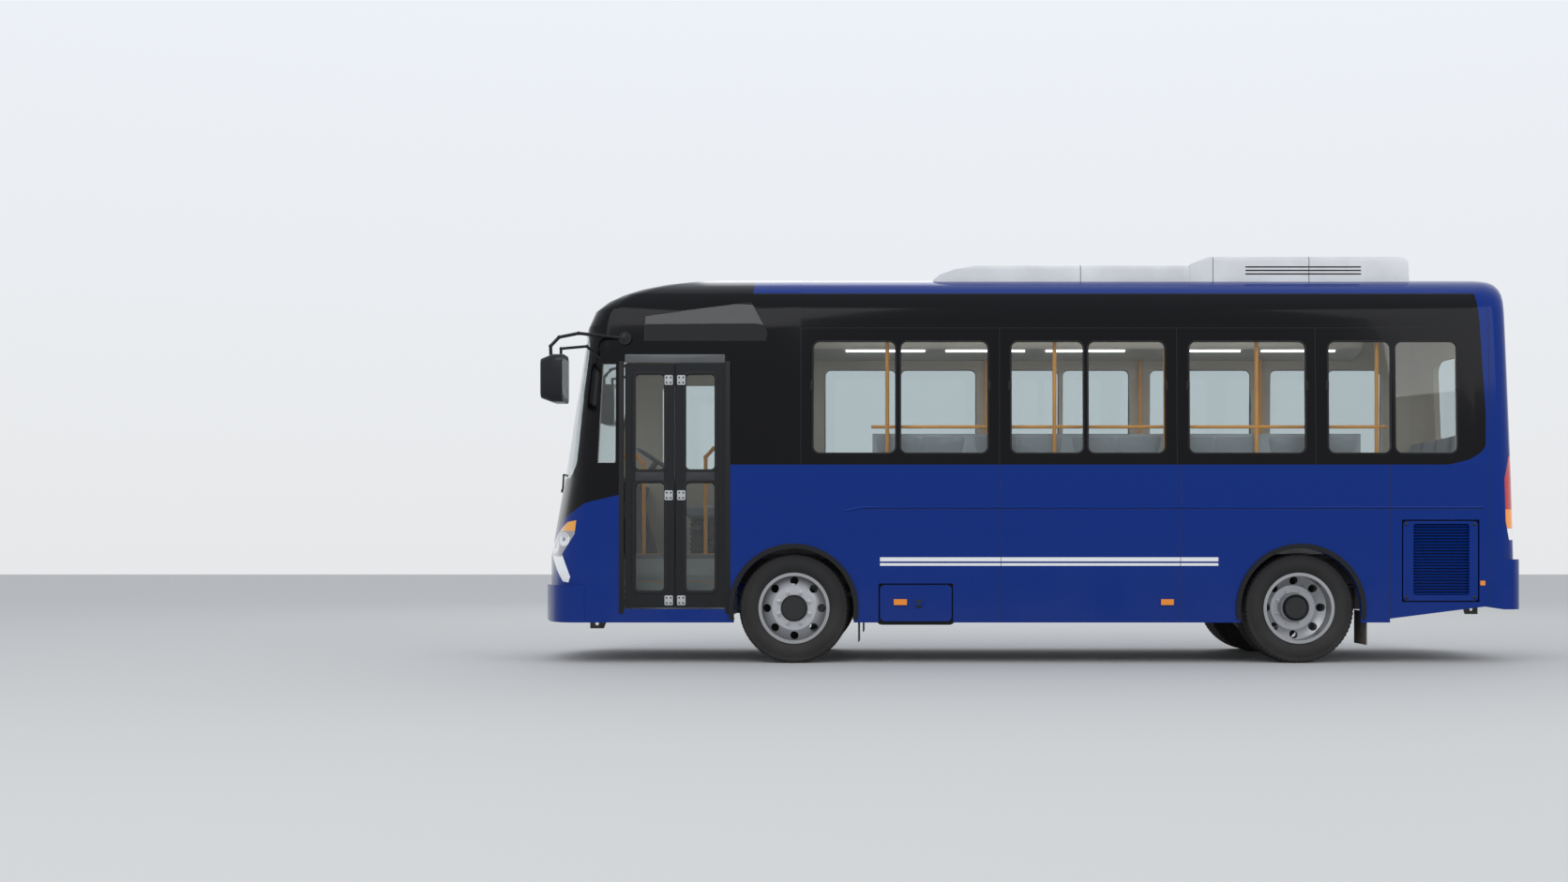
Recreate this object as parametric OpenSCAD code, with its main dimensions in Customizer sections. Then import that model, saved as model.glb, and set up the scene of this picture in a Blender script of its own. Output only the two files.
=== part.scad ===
// Airport passenger bus with a folding front door, a rear engine and a roof air conditioner.
// +X is forward, +Y is the door side, +Z is up; the origin is on the ground under the middle.

/* [Body] */
// Half of the body's width at the belt
half_w = 1200; // [1190:1:1210]
// Half of the body's width under the roof's edge
eave_w = 1160; // [1150:1:1170]
// Thickness of the side, end and roof walls
wall = 55; // [45:1:60]
// Height of the skirt's lower edge
skirt_z = 345; // [330:1:360]
// Height of the border between the side panels and the window band
belt_z = 1674; // [1660:1:1690]
// Height of the seam under the roof
roof_seam_z = 3132; // [3120:1:3140]
// Height of the roof's crown
roof_z = 3325; // [3315:1:3335]
// Rake of the windscreen
screen_rake = 10; // [8:0.5:11]

/* [Wheels] */
// Front axle's place along the body
front_axle_x = 1981; // [1975:1:1985]
// Rear axle's place along the body
rear_axle_x = -2284; // [-2290:1:-2280]
// Tyre radius
tyre_r = 464; // [455:1:466]
// Tyre width
tyre_w = 255; // [245:1:256]
// Outer face of the tyres from the middle
tyre_face_y = 1150; // [1145:1:1155]
// Radius of the wheel arches
arch_r = 505; // [500:1:510]

/* [Door] */
// Front end of the door leaves
door_front_x = 3403; // [3400:1:3405]
// Rear end of the door leaves
door_rear_x = 2559; // [2557:1:2562]
// Lower end of the door leaves
door_low_z = 471; // [468:1:475]
// Upper end of the door leaves
door_top_z = 2529; // [2520:1:2535]
// Thickness of a door leaf
leaf_t = 40; // [36:1:42]

/* [Cabin] */
// Height of the floor
floor_z = 920; // [915:1:925]
// Height of the seat cushions over the floor
seat_h = 430; // [410:5:450]

/* [Hidden] */
$fn = 96;

// Colours of the finishes
blue = [0.05, 0.12, 0.55];
black = [0.03, 0.03, 0.035];
dark_grey = [0.16, 0.17, 0.18];
silver = [0.72, 0.73, 0.75];
white = [0.9, 0.91, 0.92];
rubber = [0.05, 0.05, 0.05];
glass = [0.35, 0.42, 0.45, 0.5];
orange = [0.95, 0.55, 0.08];
cloth = [0.45, 0.47, 0.5];

// Ends of the body: the nose before its rake, the tail, and where the curved ends meet the straight sides
nose_x = 4204;
lean_z = 900;
tail_x = 4232;
front_seam_x = 1921;
rear_seam_x = 3615;
tail_corner_x = 3830;
tail_band_x = 3750;
post_seam_x = 2470;
pillar_seam_x = 3739;
pillar_top_x = 3620;
dome_seam_x = 3380;
screen_z = 1549;
dome_z = 2850;
dome_x = 2400;
eave_z = 2900;
crown_steps = [0.2, 0.4, 0.55, 0.68, 0.8, 0.88, 0.94, 0.98];
side_inner_y = half_w - wall;
axle_z = tyre_r;
gap = 12;

// A run of points along an arc
function arc(cx, cz, r, a0, a1, n) =
    [for (i = [0:n]) [cx + r * cos(a0 + (a1 - a0) * i / n), cz + r * sin(a0 + (a1 - a0) * i / n)]];

// A rectangle with rounded corners
function round_rect(x0, z0, x1, z1, r, n = 5) = concat(
    arc(x1 - r, z1 - r, r, 0, 90, n), arc(x0 + r, z1 - r, r, 90, 180, n),
    arc(x0 + r, z0 + r, r, 180, 270, n), arc(x1 - r, z0 + r, r, 270, 360, n));

// Half-width of the body at a height, t inside its outer skin
function side_y(z, t = 0) = z <= belt_z ? half_w - t
    : z <= eave_z ? half_w - t - (half_w - eave_w) * (z - belt_z) / (eave_z - belt_z)
    : (eave_w - t) * pow(max(0, 1 - pow((z - eave_z) / (roof_z - t - eave_z), 2)), 0.25);

// Heights of the rings that carry the curved ends
function levels(z0, t) = concat([z0, lean_z, screen_z, belt_z, 2260, dome_z],
    [for (u = crown_steps) eave_z + u * (roof_z - t - eave_z)]);

// The nose leans back from over the bumper and ends in the dome
function nose(z, t) = z <= lean_z ? nose_x - t
    : z <= dome_z ? nose_x - t - (z - lean_z) * tan(screen_rake)
    : dome_x + (nose_x - t - (dome_z - lean_z) * tan(screen_rake) - dome_x)
        * sqrt(max(0, 1 - pow((z - dome_z) / (roof_z - t - dome_z), 2)));

// The tail leans forward a little and rounds off into the roof
function tail(z, t) = z <= 1050 ? tail_x - t
    : z <= 3050 ? tail_x - t - (z - 1050) * 0.037
    : tail_x - t - 74 - 130 * (1 - sqrt(max(0, 1 - pow((z - 3050) / (roof_z - t - 3050), 2))));

// How far a height is up the windscreen, from 0 to 1
function up(z) = min(1, max(0, (z - screen_z) / (dome_z - screen_z)));

// One half of a ring: straight side, corner arc, then the bowed end
function half_ring(end_x, back_x, hw, bow, corner) =
    let (bow_x = end_x - bow)
    let (corner_x = bow_x + sqrt(pow(bow - corner, 2) - pow(hw - corner, 2)))
    let (turn = atan2(hw - corner, corner_x - bow_x))
    concat([[back_x, hw]], arc(corner_x, hw - corner, corner, 90, turn, 6),
        [for (j = [1:5]) [bow_x + bow * cos(turn * (1 - j / 5)), bow * sin(turn * (1 - j / 5))]]);

function ring(z, t, front) =
    let (half = front
        ? half_ring(nose(z, t), front_seam_x, side_y(z, t), 2600 + 1400 * up(z) - t, 330 - 110 * up(z) - t)
        : half_ring(tail(z, t), rear_seam_x, side_y(z, t), 5000 - t, 200 - t))
    let (last = len(half) - 2)
    concat([for (p = half) [p[0], p[1], z]], [for (j = [last:-1:0]) [half[j][0], -half[j][1], z]]);

// The wall of a curved end of the body, open below and at its seam, between two depths under the skin
module end_wall(front, t_out, t_in, z0 = skirt_z) {
    outer = [for (z = levels(z0, t_out)) ring(z, t_out, front)];
    inner = [for (z = levels(z0, t_in)) ring(z, t_in, front)];
    rows = len(outer);
    n = len(outer[0]);
    pts = concat([for (r = outer) each r], [for (r = inner) each r]);
    o = [for (i = [0:rows - 1]) [for (j = [0:n - 1]) i * n + j]];
    q = [for (i = [0:rows - 1]) [for (j = [0:n - 1]) (rows + i) * n + j]];
    top = rows - 1;
    end = n - 1;
    skin = [for (i = [0:top - 1]) for (j = [0:end - 1]) each [
        [o[i][j], o[i][j + 1], o[i + 1][j + 1]], [o[i][j], o[i + 1][j + 1], o[i + 1][j]],
        [q[i][j], q[i + 1][j + 1], q[i][j + 1]], [q[i][j], q[i + 1][j], q[i + 1][j + 1]]]];
    foot = [for (j = [0:end - 1]) each [
        [o[0][j + 1], o[0][j], q[0][j]], [o[0][j + 1], q[0][j], q[0][j + 1]]]];
    seam = [for (i = [0:top - 1]) each [
        [o[i][0], o[i + 1][0], q[i + 1][0]], [o[i][0], q[i + 1][0], q[i][0]],
        [o[i + 1][end], o[i][end], q[i][end]], [o[i + 1][end], q[i][end], q[i + 1][end]]]];
    caps = [[for (j = [0:end]) o[top][j]], [for (j = [end:-1:0]) q[top][j]],
        [o[top][0], o[top][end], q[top][end]], [o[top][0], q[top][end], q[top][0]]];
    mirror([front ? 0 : 1, 0, 0]) polyhedron(pts, concat(skin, foot, seam, caps));
}

// A prism whose outline is drawn in the side view
module side_prism(pts, y0, y1) {
    translate([0, y1, 0]) rotate([90, 0, 0]) linear_extrude(y1 - y0) polygon(pts);
}

// A prism whose outline is drawn in the front view
module front_prism(pts, x0, x1) {
    translate([x0, 0, 0]) rotate([90, 0, 90]) linear_extrude(x1 - x0) polygon(pts);
}

module box(x0, y0, z0, x1, y1, z1) {
    translate([x0, y0, z0]) cube([x1 - x0, y1 - y0, z1 - z0]);
}

module both_sides() {
    children();
    mirror([0, 1, 0]) children();
}

// Turns a piece that stands on the origin to point from one place to another
module along(a, b) {
    d = b - a;
    translate(a) rotate([0, acos(d[2] / norm(d)), atan2(d[1], d[0])]) children();
}

// A round bar between two points
module bar(a, b, r) {
    along(a, b) cylinder(r = r, h = norm(b - a));
}

// A bent rod with a small knuckle at each bend
module rod(pts, r) {
    for (i = [1:len(pts) - 1]) {
        bar(pts[i - 1], pts[i], r);
    }
    for (i = [1:len(pts) - 2]) {
        along(pts[i], pts[i + 1]) sphere(r = 1.2 * r);
    }
}

// Heights at which the straight window band is drawn
band_zs = concat([belt_z, eave_z], [for (i = [1:4]) eave_z + (roof_seam_z - eave_z) * i / 4]);
lower_wall = [[half_w, skirt_z], [half_w, belt_z], [side_inner_y, belt_z], [side_inner_y, skirt_z]];
band_wall = concat([for (z = band_zs) [side_y(z), z]],
    [for (i = [len(band_zs) - 1:-1:0]) [side_y(band_zs[i], wall), band_zs[i]]]);

// Heights of the roof's arch, outside and inside
function roof_zs(t) = [for (a = [0:8]) roof_seam_z + (roof_z - t - roof_seam_z) * sin(a * 90 / 8)];
function roof_half(t) = [for (z = roof_zs(t)) [side_y(z, t), z]];
function mirrored(pts) = [for (i = [len(pts) - 1:-1:0]) [-pts[i][0], pts[i][1]]];
roof_arch = concat(roof_half(0), mirrored(roof_half(0)),
    [for (p = roof_half(wall)) [-p[0], p[1]]], [for (p = mirrored(roof_half(wall))) [-p[0], p[1]]]);

// Side windows: rear end, front end and the place of the upright that splits each, 0 for none
side_windows = [[344, 1820, 1102], [-1147, 153, -477], [-2329, -1346, 0], [-3602, -2517, -3062]];
window_low_z = 1768;
window_top_z = 2716;
window_r = 60;
upright_w = 36;

// Outlines of the panes of one window, split by its upright
function panes(w) = w[2] == 0 ? [[w[0], w[1]]] : [[w[0], w[2] - upright_w / 2], [w[2] + upright_w / 2, w[1]]];
function pane_outline(p) = round_rect(p[0], window_low_z, p[1], window_top_z, window_r);

module window_prisms(y0, y1) {
    for (w = side_windows) {
        for (p = panes(w)) {
            side_prism(pane_outline(p), y0, y1);
        }
    }
}

// Windows round the front: the quarter light before the door, the one over it, and the driver's window
quarter_light = [[3478, 1690], [3630, 1690], [3590, 2525], [3478, 2525]];
upper_light = [[3240, 2719], [3234, 2929], [2345, 3057], [2202, 2790], [2215, 2719]];
driver_window = round_rect(2590, 1640, 3400, 2560, 60);
screen_outline = round_rect(-1085, 1575, 1085, 2800, 150, 8);
rear_light = round_rect(-900, 1950, 900, 2760, 120, 6);

// Outlines in the side view
front_clip = [[front_seam_x, belt_z], [post_seam_x, belt_z], [post_seam_x, skirt_z], [pillar_seam_x, skirt_z],
    [pillar_seam_x, screen_z], [pillar_top_x, dome_z], [dome_seam_x, roof_seam_z], [front_seam_x, roof_seam_z]];
mask_low_z = 660;
tail_low_z = 877;
lamp_outline = [[3817, 1206], [3830, 1090], [3950, 922], [3868, 730], [3885, 682], [3940, 690], [4112, 925],
    [4130, 994], [4005, 1114], [3900, 1194]];
tail_lamp_outline = [[-4050, 1040], [-4015, 1200], [-4005, 1560], [-4055, 1745], [-4400, 1745], [-4400, 1040]];
hatch = [652, 356, 1254, 662];
grille = [-3773, 529, -3145, 1199];
lid_low_z = 930;
lid_top_z = 1830;
lid_half_w = 760;

module arch_cuts(y0, y1) {
    for (x = [front_axle_x, rear_axle_x]) {
        translate([x, y1, axle_z]) rotate([90, 0, 0]) cylinder(r = arch_r, h = y1 - y0);
        box(x - arch_r, y0, 0, x + arch_r, y1, axle_z);
    }
}

// Lower side wall with wheel arches and a rising rear skirt
module lower_side(front_x) {
    difference() {
        front_prism(lower_wall, -tail_corner_x, front_x);
        arch_cuts(half_w - 100, half_w + 100);
        side_prism([[-3034, skirt_z - 5], [-3034, 378], [-tail_corner_x - 5, 480],
            [-tail_corner_x - 5, skirt_z - 5]], half_w - 100, half_w + 100);
    }
}

module left_side() {
    color(blue) difference() {
        lower_side(post_seam_x);
        box(hatch[0] - gap, 1000, skirt_z - 5, hatch[2] + gap, 1300, hatch[3] + gap);
        box(grille[0] - gap, 1000, grille[1] - gap, grille[2] + gap, 1300, grille[3] + gap);
    }
}

module right_side() {
    color(blue) mirror([0, 1, 0]) lower_side(post_seam_x);
}

module band() {
    difference() {
        front_prism(band_wall, -tail_band_x, front_seam_x);
        window_prisms(1000, 1300);
    }
}

module left_band() {
    color(black) band();
}

module right_band() {
    color(black) mirror([0, 1, 0]) band();
}

module left_front() {
    color(black) difference() {
        intersection() {
            end_wall(true, 0, wall);
            side_prism(front_clip, 600, 1300);
        }
        box(door_rear_x - gap, 600, door_low_z - gap, door_front_x + gap + 3, 1300, door_top_z + gap);
        side_prism(quarter_light, 600, 1300);
        side_prism(upper_light, 600, 1300);
        arch_cuts(600, 1300);
    }
}

module right_front() {
    color(black) difference() {
        intersection() {
            end_wall(true, 0, wall);
            side_prism(front_clip, -1300, -600);
        }
        side_prism(driver_window, -1300, -600);
        side_prism(upper_light, -1300, -600);
        arch_cuts(-1300, -600);
    }
}

module roof() {
    color(blue) front_prism(roof_arch, -rear_seam_x, front_seam_x);
}

module front_dome() {
    color(black) intersection() {
        end_wall(true, 0, wall);
        side_prism([[1800, roof_seam_z], [dome_seam_x, roof_seam_z], [pillar_top_x, dome_z], [4400, dome_z],
            [4400, 3500], [1800, 3500]], -1300, 1300);
    }
}

module lamp_prisms() {
    both_sides() side_prism(lamp_outline, 500, 1300);
}

module front_mask() {
    color(black) difference() {
        intersection() {
            end_wall(true, 0, wall);
            side_prism([[pillar_seam_x, mask_low_z], [pillar_seam_x, screen_z], [pillar_top_x, dome_z], [4400, dome_z],
                [4400, mask_low_z]], -1300, 1300);
        }
        front_prism(screen_outline, 3500, 4400);
        lamp_prisms();
    }
}

module front_bumper() {
    color(blue) intersection() {
        end_wall(true, -35, wall, skirt_z);
        side_prism([[pillar_seam_x, skirt_z], [4120, skirt_z], [4400, 420], [4400, 640], [4140, mask_low_z],
            [pillar_seam_x, mask_low_z]], -half_w, half_w);
    }
}

module windscreen() {
    color(glass) intersection() {
        end_wall(true, 4, 12);
        front_prism(screen_outline, 3500, 4400);
    }
}

module headlamps() {
    color(white) intersection() {
        end_wall(true, 0, 45);
        lamp_prisms();
    }
}

module tail_lamp_prisms() {
    both_sides() side_prism(tail_lamp_outline, 1020, 1300);
}

module rear_wall() {
    color(blue) difference() {
        intersection() {
            end_wall(false, 0, wall, 480);
            side_prism([[-tail_corner_x, tail_low_z], [-tail_corner_x, belt_z], [-tail_band_x, belt_z],
                [-tail_band_x, roof_seam_z], [-rear_seam_x, roof_seam_z], [-rear_seam_x, 3500], [-4400, 3500],
                [-4400, tail_low_z]], -1300, 1300);
        }
        front_prism(rear_light, -4400, -3700);
        tail_lamp_prisms();
        box(-4400, -lid_half_w - gap, lid_low_z - gap, -3700, lid_half_w + gap, lid_top_z + gap);
    }
}

module rear_bumper() {
    color(blue) intersection() {
        end_wall(false, -48, wall, 456);
        side_prism([[-tail_corner_x, 480], [-3990, 456], [-4400, 456], [-4400, 860], [-tail_x, tail_low_z],
            [-tail_corner_x, tail_low_z]], -half_w, half_w);
    }
}

module rear_window() {
    color(glass) intersection() {
        end_wall(false, 4, 10, 480);
        front_prism(rear_light, -4400, -3700);
    }
}

module tail_lamps() {
    color("red") intersection() {
        end_wall(false, 0, 45, 480);
        tail_lamp_prisms();
    }
}

// Panes set a little under the skin of the straight band
pane_section = [[side_y(belt_z, 4), belt_z], [side_y(eave_z, 4), eave_z], [side_y(eave_z, 10), eave_z],
    [side_y(belt_z, 10), belt_z]];

module straight_panes() {
    intersection() {
        front_prism(pane_section, -tail_band_x, front_seam_x);
        window_prisms(1000, 1300);
    }
}

module left_windows() {
    color(glass) {
        straight_panes();
        intersection() {
            end_wall(true, 4, 10);
            union() {
                side_prism(quarter_light, 600, 1300);
                side_prism(upper_light, 600, 1300);
            }
        }
    }
}

module right_windows() {
    color(glass) {
        mirror([0, 1, 0]) straight_panes();
        intersection() {
            end_wall(true, 4, 10);
            union() {
                side_prism(driver_window, -1300, -600);
                side_prism(upper_light, -1300, -600);
            }
        }
    }
}

// Amber markers: middle along the body, lower edge, length and height; the first is on the left hatch
markers = [[1083, 493, 110, 49], [-1161, 493, 106, 49], [-3810, 658, 40, 39]];

module marker(m, face_y) {
    box(m[0] - m[2] / 2, face_y, m[1], m[0] + m[2] / 2, face_y + 12, m[1] + m[3]);
}

module marker_lamps() {
    color("orange") {
        mirror([0, 1, 0]) marker(markers[0], half_w);
        for (i = [1:len(markers) - 1]) {
            both_sides() marker(markers[i], half_w);
        }
    }
}

module hatch_marker() {
    color("orange") marker(markers[0], half_w - 2);
}

// Roof pod: a low part that rises from the front, and a higher part behind it
pod_half_w = 780;
pod_foot_z = 3230;
low_pod_z = 3427;
high_pod_z = 3500;
pod_edge_r = 45;
low_pod_outline = [[806, pod_foot_z], [800, 3290], [740, 3340], [610, 3385], [394, low_pod_z], [-1420, low_pod_z],
    [-1420, pod_foot_z]];
high_pod_outline = concat([[-1421, pod_foot_z], [-1421, low_pod_z], [-1594, high_pod_z]],
    arc(-3235, high_pod_z - 75, 75, 90, 180, 6), [[-3318, pod_foot_z]]);
roof_solid = concat(roof_half(0), mirrored(roof_half(0)));

function pod_section(top_z) = round_rect(-pod_half_w, pod_foot_z - 200, pod_half_w, top_z, pod_edge_r);

module pod_part(outline, top_z) {
    intersection() {
        side_prism(outline, -pod_half_w, pod_half_w);
        front_prism(pod_section(top_z), -3500, 900);
    }
}

module air_conditioner() {
    color(white) difference() {
        union() {
            pod_part(low_pod_outline, low_pod_z);
            pod_part(high_pod_outline, high_pod_z);
        }
        front_prism(roof_solid, -3500, 900);
    }
}

flare_w = 40;
flare_t = 14;

module arch_flares() {
    color(dark_grey) both_sides() {
        for (x = [front_axle_x, rear_axle_x]) {
            difference() {
                translate([x, half_w + flare_t, axle_z]) rotate([90, 0, 0])
                    cylinder(r = arch_r + flare_w, h = flare_t);
                translate([x, half_w + flare_t + 1, axle_z]) rotate([90, 0, 0])
                    cylinder(r = arch_r, h = flare_t + 2);
                box(x - 700, half_w - 1, -200, x + 700, half_w + flare_t + 1, 370);
            }
        }
    }
}

// Hanging flaps behind and before the wheels: middle, lower and upper edge, and thickness
flaps = [[front_axle_x - arch_r - 40, 180, 420, 10], [rear_axle_x - arch_r - 60, 154, 440, 10]];

module mud_flaps() {
    color(rubber) both_sides() {
        for (f = flaps) {
            box(f[0] - f[3] / 2, 760, f[1], f[0] + f[3] / 2, side_inner_y, f[2]);
        }
    }
}

// Mirrors: a tapered head, an upper arm to the bracket over the door and a lower stay to the pillar
mirror_y = 1290;
mirror_z = 2384;
mirror_back_x = 3880;
mirror_back = round_rect(-150, -200, 150, 199, 55);
mirror_front = round_rect(-112, -165, 112, 165, 50);
arm_r = 14;
arm_foot = [3400, side_y(2740) - 5, 2740];
stay_foot = [3605, 1142, 2560];

module mirrors() {
    color(black) both_sides() {
        hull() {
            translate([mirror_back_x, mirror_y, mirror_z]) rotate([90, 0, 90]) linear_extrude(90) polygon(mirror_back);
            translate([mirror_back_x + 90, mirror_y, mirror_z]) rotate([90, 0, 90]) linear_extrude(98)
                polygon(mirror_front);
        }
        rod([[4000, mirror_y, 2480], [4005, mirror_y, 2660], [3935, mirror_y - 5, 2735],
            [3778, mirror_y - 40, 2772], arm_foot + [0, 14, 0]], arm_r);
        translate(arm_foot) rotate([-90, 0, 0]) cylinder(r = 55, h = 30);
        rod([[3920, mirror_y, 2480], [3920, mirror_y - 10, 2640], [3715, mirror_y - 70, 2666], stay_foot], arm_r - 2);
    }
}

// A point on the windscreen, t inside the skin
function screen_point(y, z, t) =
    let (bow = 2600 + 1400 * up(z) - t)
    [nose(z, t) - bow + sqrt(bow * bow - y * y), y, z];

// Each wiper: its pivot, and the blade's two ends across the glass
wiper_marks = [[[150, 1490], [40, 1640], [620, 1610]], [[-450, 1490], [-560, 1640], [-1000, 1610]]];

module wipers() {
    color(black) for (m = wiper_marks) {
        mid = [(m[1][0] + m[2][0]) / 2, (m[1][1] + m[2][1]) / 2];
        bar(screen_point(m[0][0], m[0][1], 10), screen_point(m[0][0], m[0][1], -40), 16);
        bar(screen_point(m[0][0], m[0][1], -28), screen_point(mid[0], mid[1], -24), 8);
        rod([screen_point(m[1][0], m[1][1], -20), screen_point(mid[0], mid[1], -20),
            screen_point(m[2][0], m[2][1], -20)], 9);
    }
}

// Ladder frame
rail_y = 400;
rail_w = 70;
rail_low_z = 660;
rail_top_z = 880;
rail_front_x = 3650;
rail_rear_x = -4010;
tow_r = 18;
tow_ear = 30;

cross_xs = [3600, 2700, 1200, 100, -1000, -1500, -2900, -3950];
cross_y = rail_y + rail_w / 2 - 11;
front_tow = [3840, 290];
rear_tow = [-4105, 420];

module chassis_frame() {
    color(dark_grey) both_sides() difference() {
        box(rail_rear_x, rail_y - rail_w / 2, rail_low_z, rail_front_x, rail_y + rail_w / 2, rail_top_z);
        box(rail_rear_x - 1, rail_y - rail_w / 2 - 1, rail_low_z + 10, rail_front_x + 1,
            rail_y + rail_w / 2 - 10, rail_top_z - 10);
    }
}

module cross_members() {
    color(dark_grey) for (x = cross_xs) {
        box(x - 40, -cross_y, rail_low_z + 40, x + 40, cross_y, rail_top_z - 40);
    }
}

// Towing plates on the end cross members, each with a hole for the pin
module tow_eyes() {
    color(dark_grey) difference() {
        union() {
            side_prism([[3641, 600], [3780, 245], [3900, 245], [3900, 330], [3720, 840], [3641, 840]],
                -tow_ear / 2, tow_ear / 2);
            side_prism([[-3991, 840], [-3991, 600], [-4050, 375], [-4160, 375], [-4160, 465], [-4050, 840]],
                -tow_ear / 2, tow_ear / 2);
        }
        for (p = [front_tow, rear_tow]) {
            translate([p[0], 100, p[1]]) rotate([90, 0, 0]) cylinder(r = tow_r, h = 200);
        }
    }
}

// Floor plate, with sheet-metal wheel boxes, the step well at the door and the raised deck over the engine
floor_t = 40;
sheet = 20;
weld = 1;
box_half = 524;
box_top_z = 1040;
front_box_y = 600;
rear_box_y = 560;
well_rear_x = 2545;
well_front_x = 3420;
step_y = [470, 700];
step_z = [440, 680];
deck_z = 1180;
deck_x = -2850;
deck_rear_x = -3900;
floor_front_x = 3620;

module wheel_box(x, inner_y) {
    wall_top_z = box_top_z - sheet - weld;
    box(x - box_half - sheet, inner_y - sheet, box_top_z - sheet, x + box_half + sheet, side_inner_y, box_top_z);
    box(x - box_half - sheet, inner_y - sheet, floor_z, x + box_half + sheet, inner_y, wall_top_z);
    for (end_x = [x - box_half - sheet, x + box_half]) {
        box(end_x, inner_y + weld, floor_z, end_x + sheet, side_inner_y, wall_top_z);
    }
}

module floor_deck() {
    color([0.3, 0.31, 0.33]) difference() {
        box(deck_x - sheet, -side_inner_y, floor_z - floor_t, floor_front_x, side_inner_y, floor_z);
        box(well_rear_x, step_y[0], 0, well_front_x, 1300, 1300);
        both_sides() {
            box(front_axle_x - box_half, front_box_y, 0, front_axle_x + box_half, 1300, 1300);
            box(rear_axle_x - box_half, rear_box_y, 0, rear_axle_x + box_half, 1300, 1300);
        }
    }
}

module step_well() {
    under_floor_z = floor_z - floor_t;
    for (x = [well_rear_x - sheet, well_front_x]) {
        box(x, step_y[0] - sheet, step_z[0] - floor_t, x + sheet, side_inner_y, under_floor_z);
    }
    x0 = well_rear_x + weld;
    x1 = well_front_x - weld;
    box(x0, step_y[1] - sheet, step_z[0] - floor_t, x1, side_inner_y, step_z[0]);
    box(x0, step_y[1] - sheet, step_z[0] + weld, x1, step_y[1], step_z[1]);
    box(x0, step_y[0] - sheet, step_z[1] - sheet, x1, step_y[1] - sheet - weld, step_z[1]);
    box(x0, step_y[0] - sheet, step_z[1] + weld, x1, step_y[0], under_floor_z);
}

module floor_boxes() {
    color([0.6, 0.6, 0.58]) {
        both_sides() wheel_box(front_axle_x, front_box_y);
        both_sides() wheel_box(rear_axle_x, rear_box_y);
        step_well();
        box(deck_rear_x, -side_inner_y, deck_z - sheet, deck_x, side_inner_y, deck_z);
        box(deck_x - sheet, -side_inner_y, floor_z, deck_x, side_inner_y, deck_z - sheet - weld);
    }
}

// Front axle: a dropped beam with an eye at each end for the king pin
kingpin_y = 962;
spring_y = 400;
pad_h = 120;
pin_r = 25;
eye_r = 48;
beam_low_z = 380;
wheel_y = tyre_face_y - tyre_w / 2;
twin_gap = 290;

module front_axle() {
    color(dark_grey) difference() {
        union() {
            box(front_axle_x - 50, 10 - kingpin_y, beam_low_z, front_axle_x + 50, kingpin_y - 10, beam_low_z + 100);
            both_sides() translate([front_axle_x, kingpin_y, axle_z - 60]) cylinder(r = eye_r, h = 120);
            both_sides() box(front_axle_x - 90, spring_y - 45, beam_low_z + 100, front_axle_x + 90, spring_y + 45,
                beam_low_z + pad_h);
        }
        both_sides() translate([front_axle_x, kingpin_y, 0]) cylinder(r = pin_r + 0.5, h = 2000);
        both_sides() translate([front_axle_x, kingpin_y, axle_z - 200]) cylinder(r = 85, h = 140);
        both_sides() translate([front_axle_x, kingpin_y, axle_z + 60]) cylinder(r = 85, h = 140);
    }
}

spindle_r = 45;
hub_gap = 1;
fork_t = 40;
web_y = kingpin_y + 58;

module knuckle() {
    translate([front_axle_x, 0, axle_z]) {
        for (z = [65, -65 - fork_t]) {
            translate([0, kingpin_y, z]) cylinder(r = 42, h = fork_t);
            box(-42, kingpin_y, z, 42, web_y + 20, z + fork_t);
        }
        translate([0, kingpin_y, -100]) cylinder(r = pin_r, h = 200);
        box(-42, web_y, -100, 42, web_y + 20, 100);
        translate([0, web_y + 95, 0]) rotate([90, 0, 0]) cylinder(r = spindle_r, h = 95);
    }
}

module knuckle_left() {
    color(dark_grey) knuckle();
}

module knuckle_right() {
    color(dark_grey) mirror([0, 1, 0]) knuckle();
}

module rear_axle() {
    color(dark_grey) translate([rear_axle_x, 0, axle_z]) {
        translate([0, 600, 0]) rotate([90, 0, 0]) cylinder(r = 75, h = 1200);
        translate([0, 870, 0]) rotate([90, 0, 0]) cylinder(r = 55, h = 1740);
        both_sides() box(-90, spring_y - 45, 0, 90, spring_y + 45, rear_pad_h);
        sphere(r = 200);
    }
}

// A leaf spring: each leaf is a shorter strip of the same shallow arch, hung from the rails at its ends
spring_rise = 4000;
spring_len = 700;
leaf_h = 16;
leaf_count = 3;
rear_pad_h = 85;

leaf_step = asin(spring_len / spring_rise) / 12;

function leaf_outline(x, z, i) =
    let (steps = 12 - 3 * i)
    let (inner = spring_rise + i * leaf_h)
    let (mid_z = z + spring_rise + leaf_count * leaf_h)
    concat(arc(x, mid_z, inner, 270 - steps * leaf_step, 270 + steps * leaf_step, 2 * steps),
        arc(x, mid_z, inner + leaf_h, 270 + steps * leaf_step, 270 - steps * leaf_step, 2 * steps));

module leaf_spring(x, seat_z) {
    for (i = [0:leaf_count - 1]) {
        side_prism(leaf_outline(x, seat_z, i), spring_y - 35, spring_y + 35);
    }
    for (e = [-1, 1]) {
        box(x + e * spring_len - 30, spring_y - 35, seat_z + 70, x + e * spring_len + 30, spring_y + 35, rail_low_z);
    }
}

module springs() {
    color(dark_grey) both_sides() {
        leaf_spring(front_axle_x, beam_low_z + pad_h);
        leaf_spring(rear_axle_x, axle_z + rear_pad_h);
    }
}

module engine() {
    color(dark_grey) {
        box(-3860, -340, 430, -2960, 340, 1090);
        both_sides() {
            for (x = [-3700, -3150]) {
                box(x - 60, 330, rail_low_z + 10, x + 60, rail_y, rail_low_z + 50);
            }
        }
        box(-3740, 960, 560, -3180, 1060, deck_z - sheet);
    }
}

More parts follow.
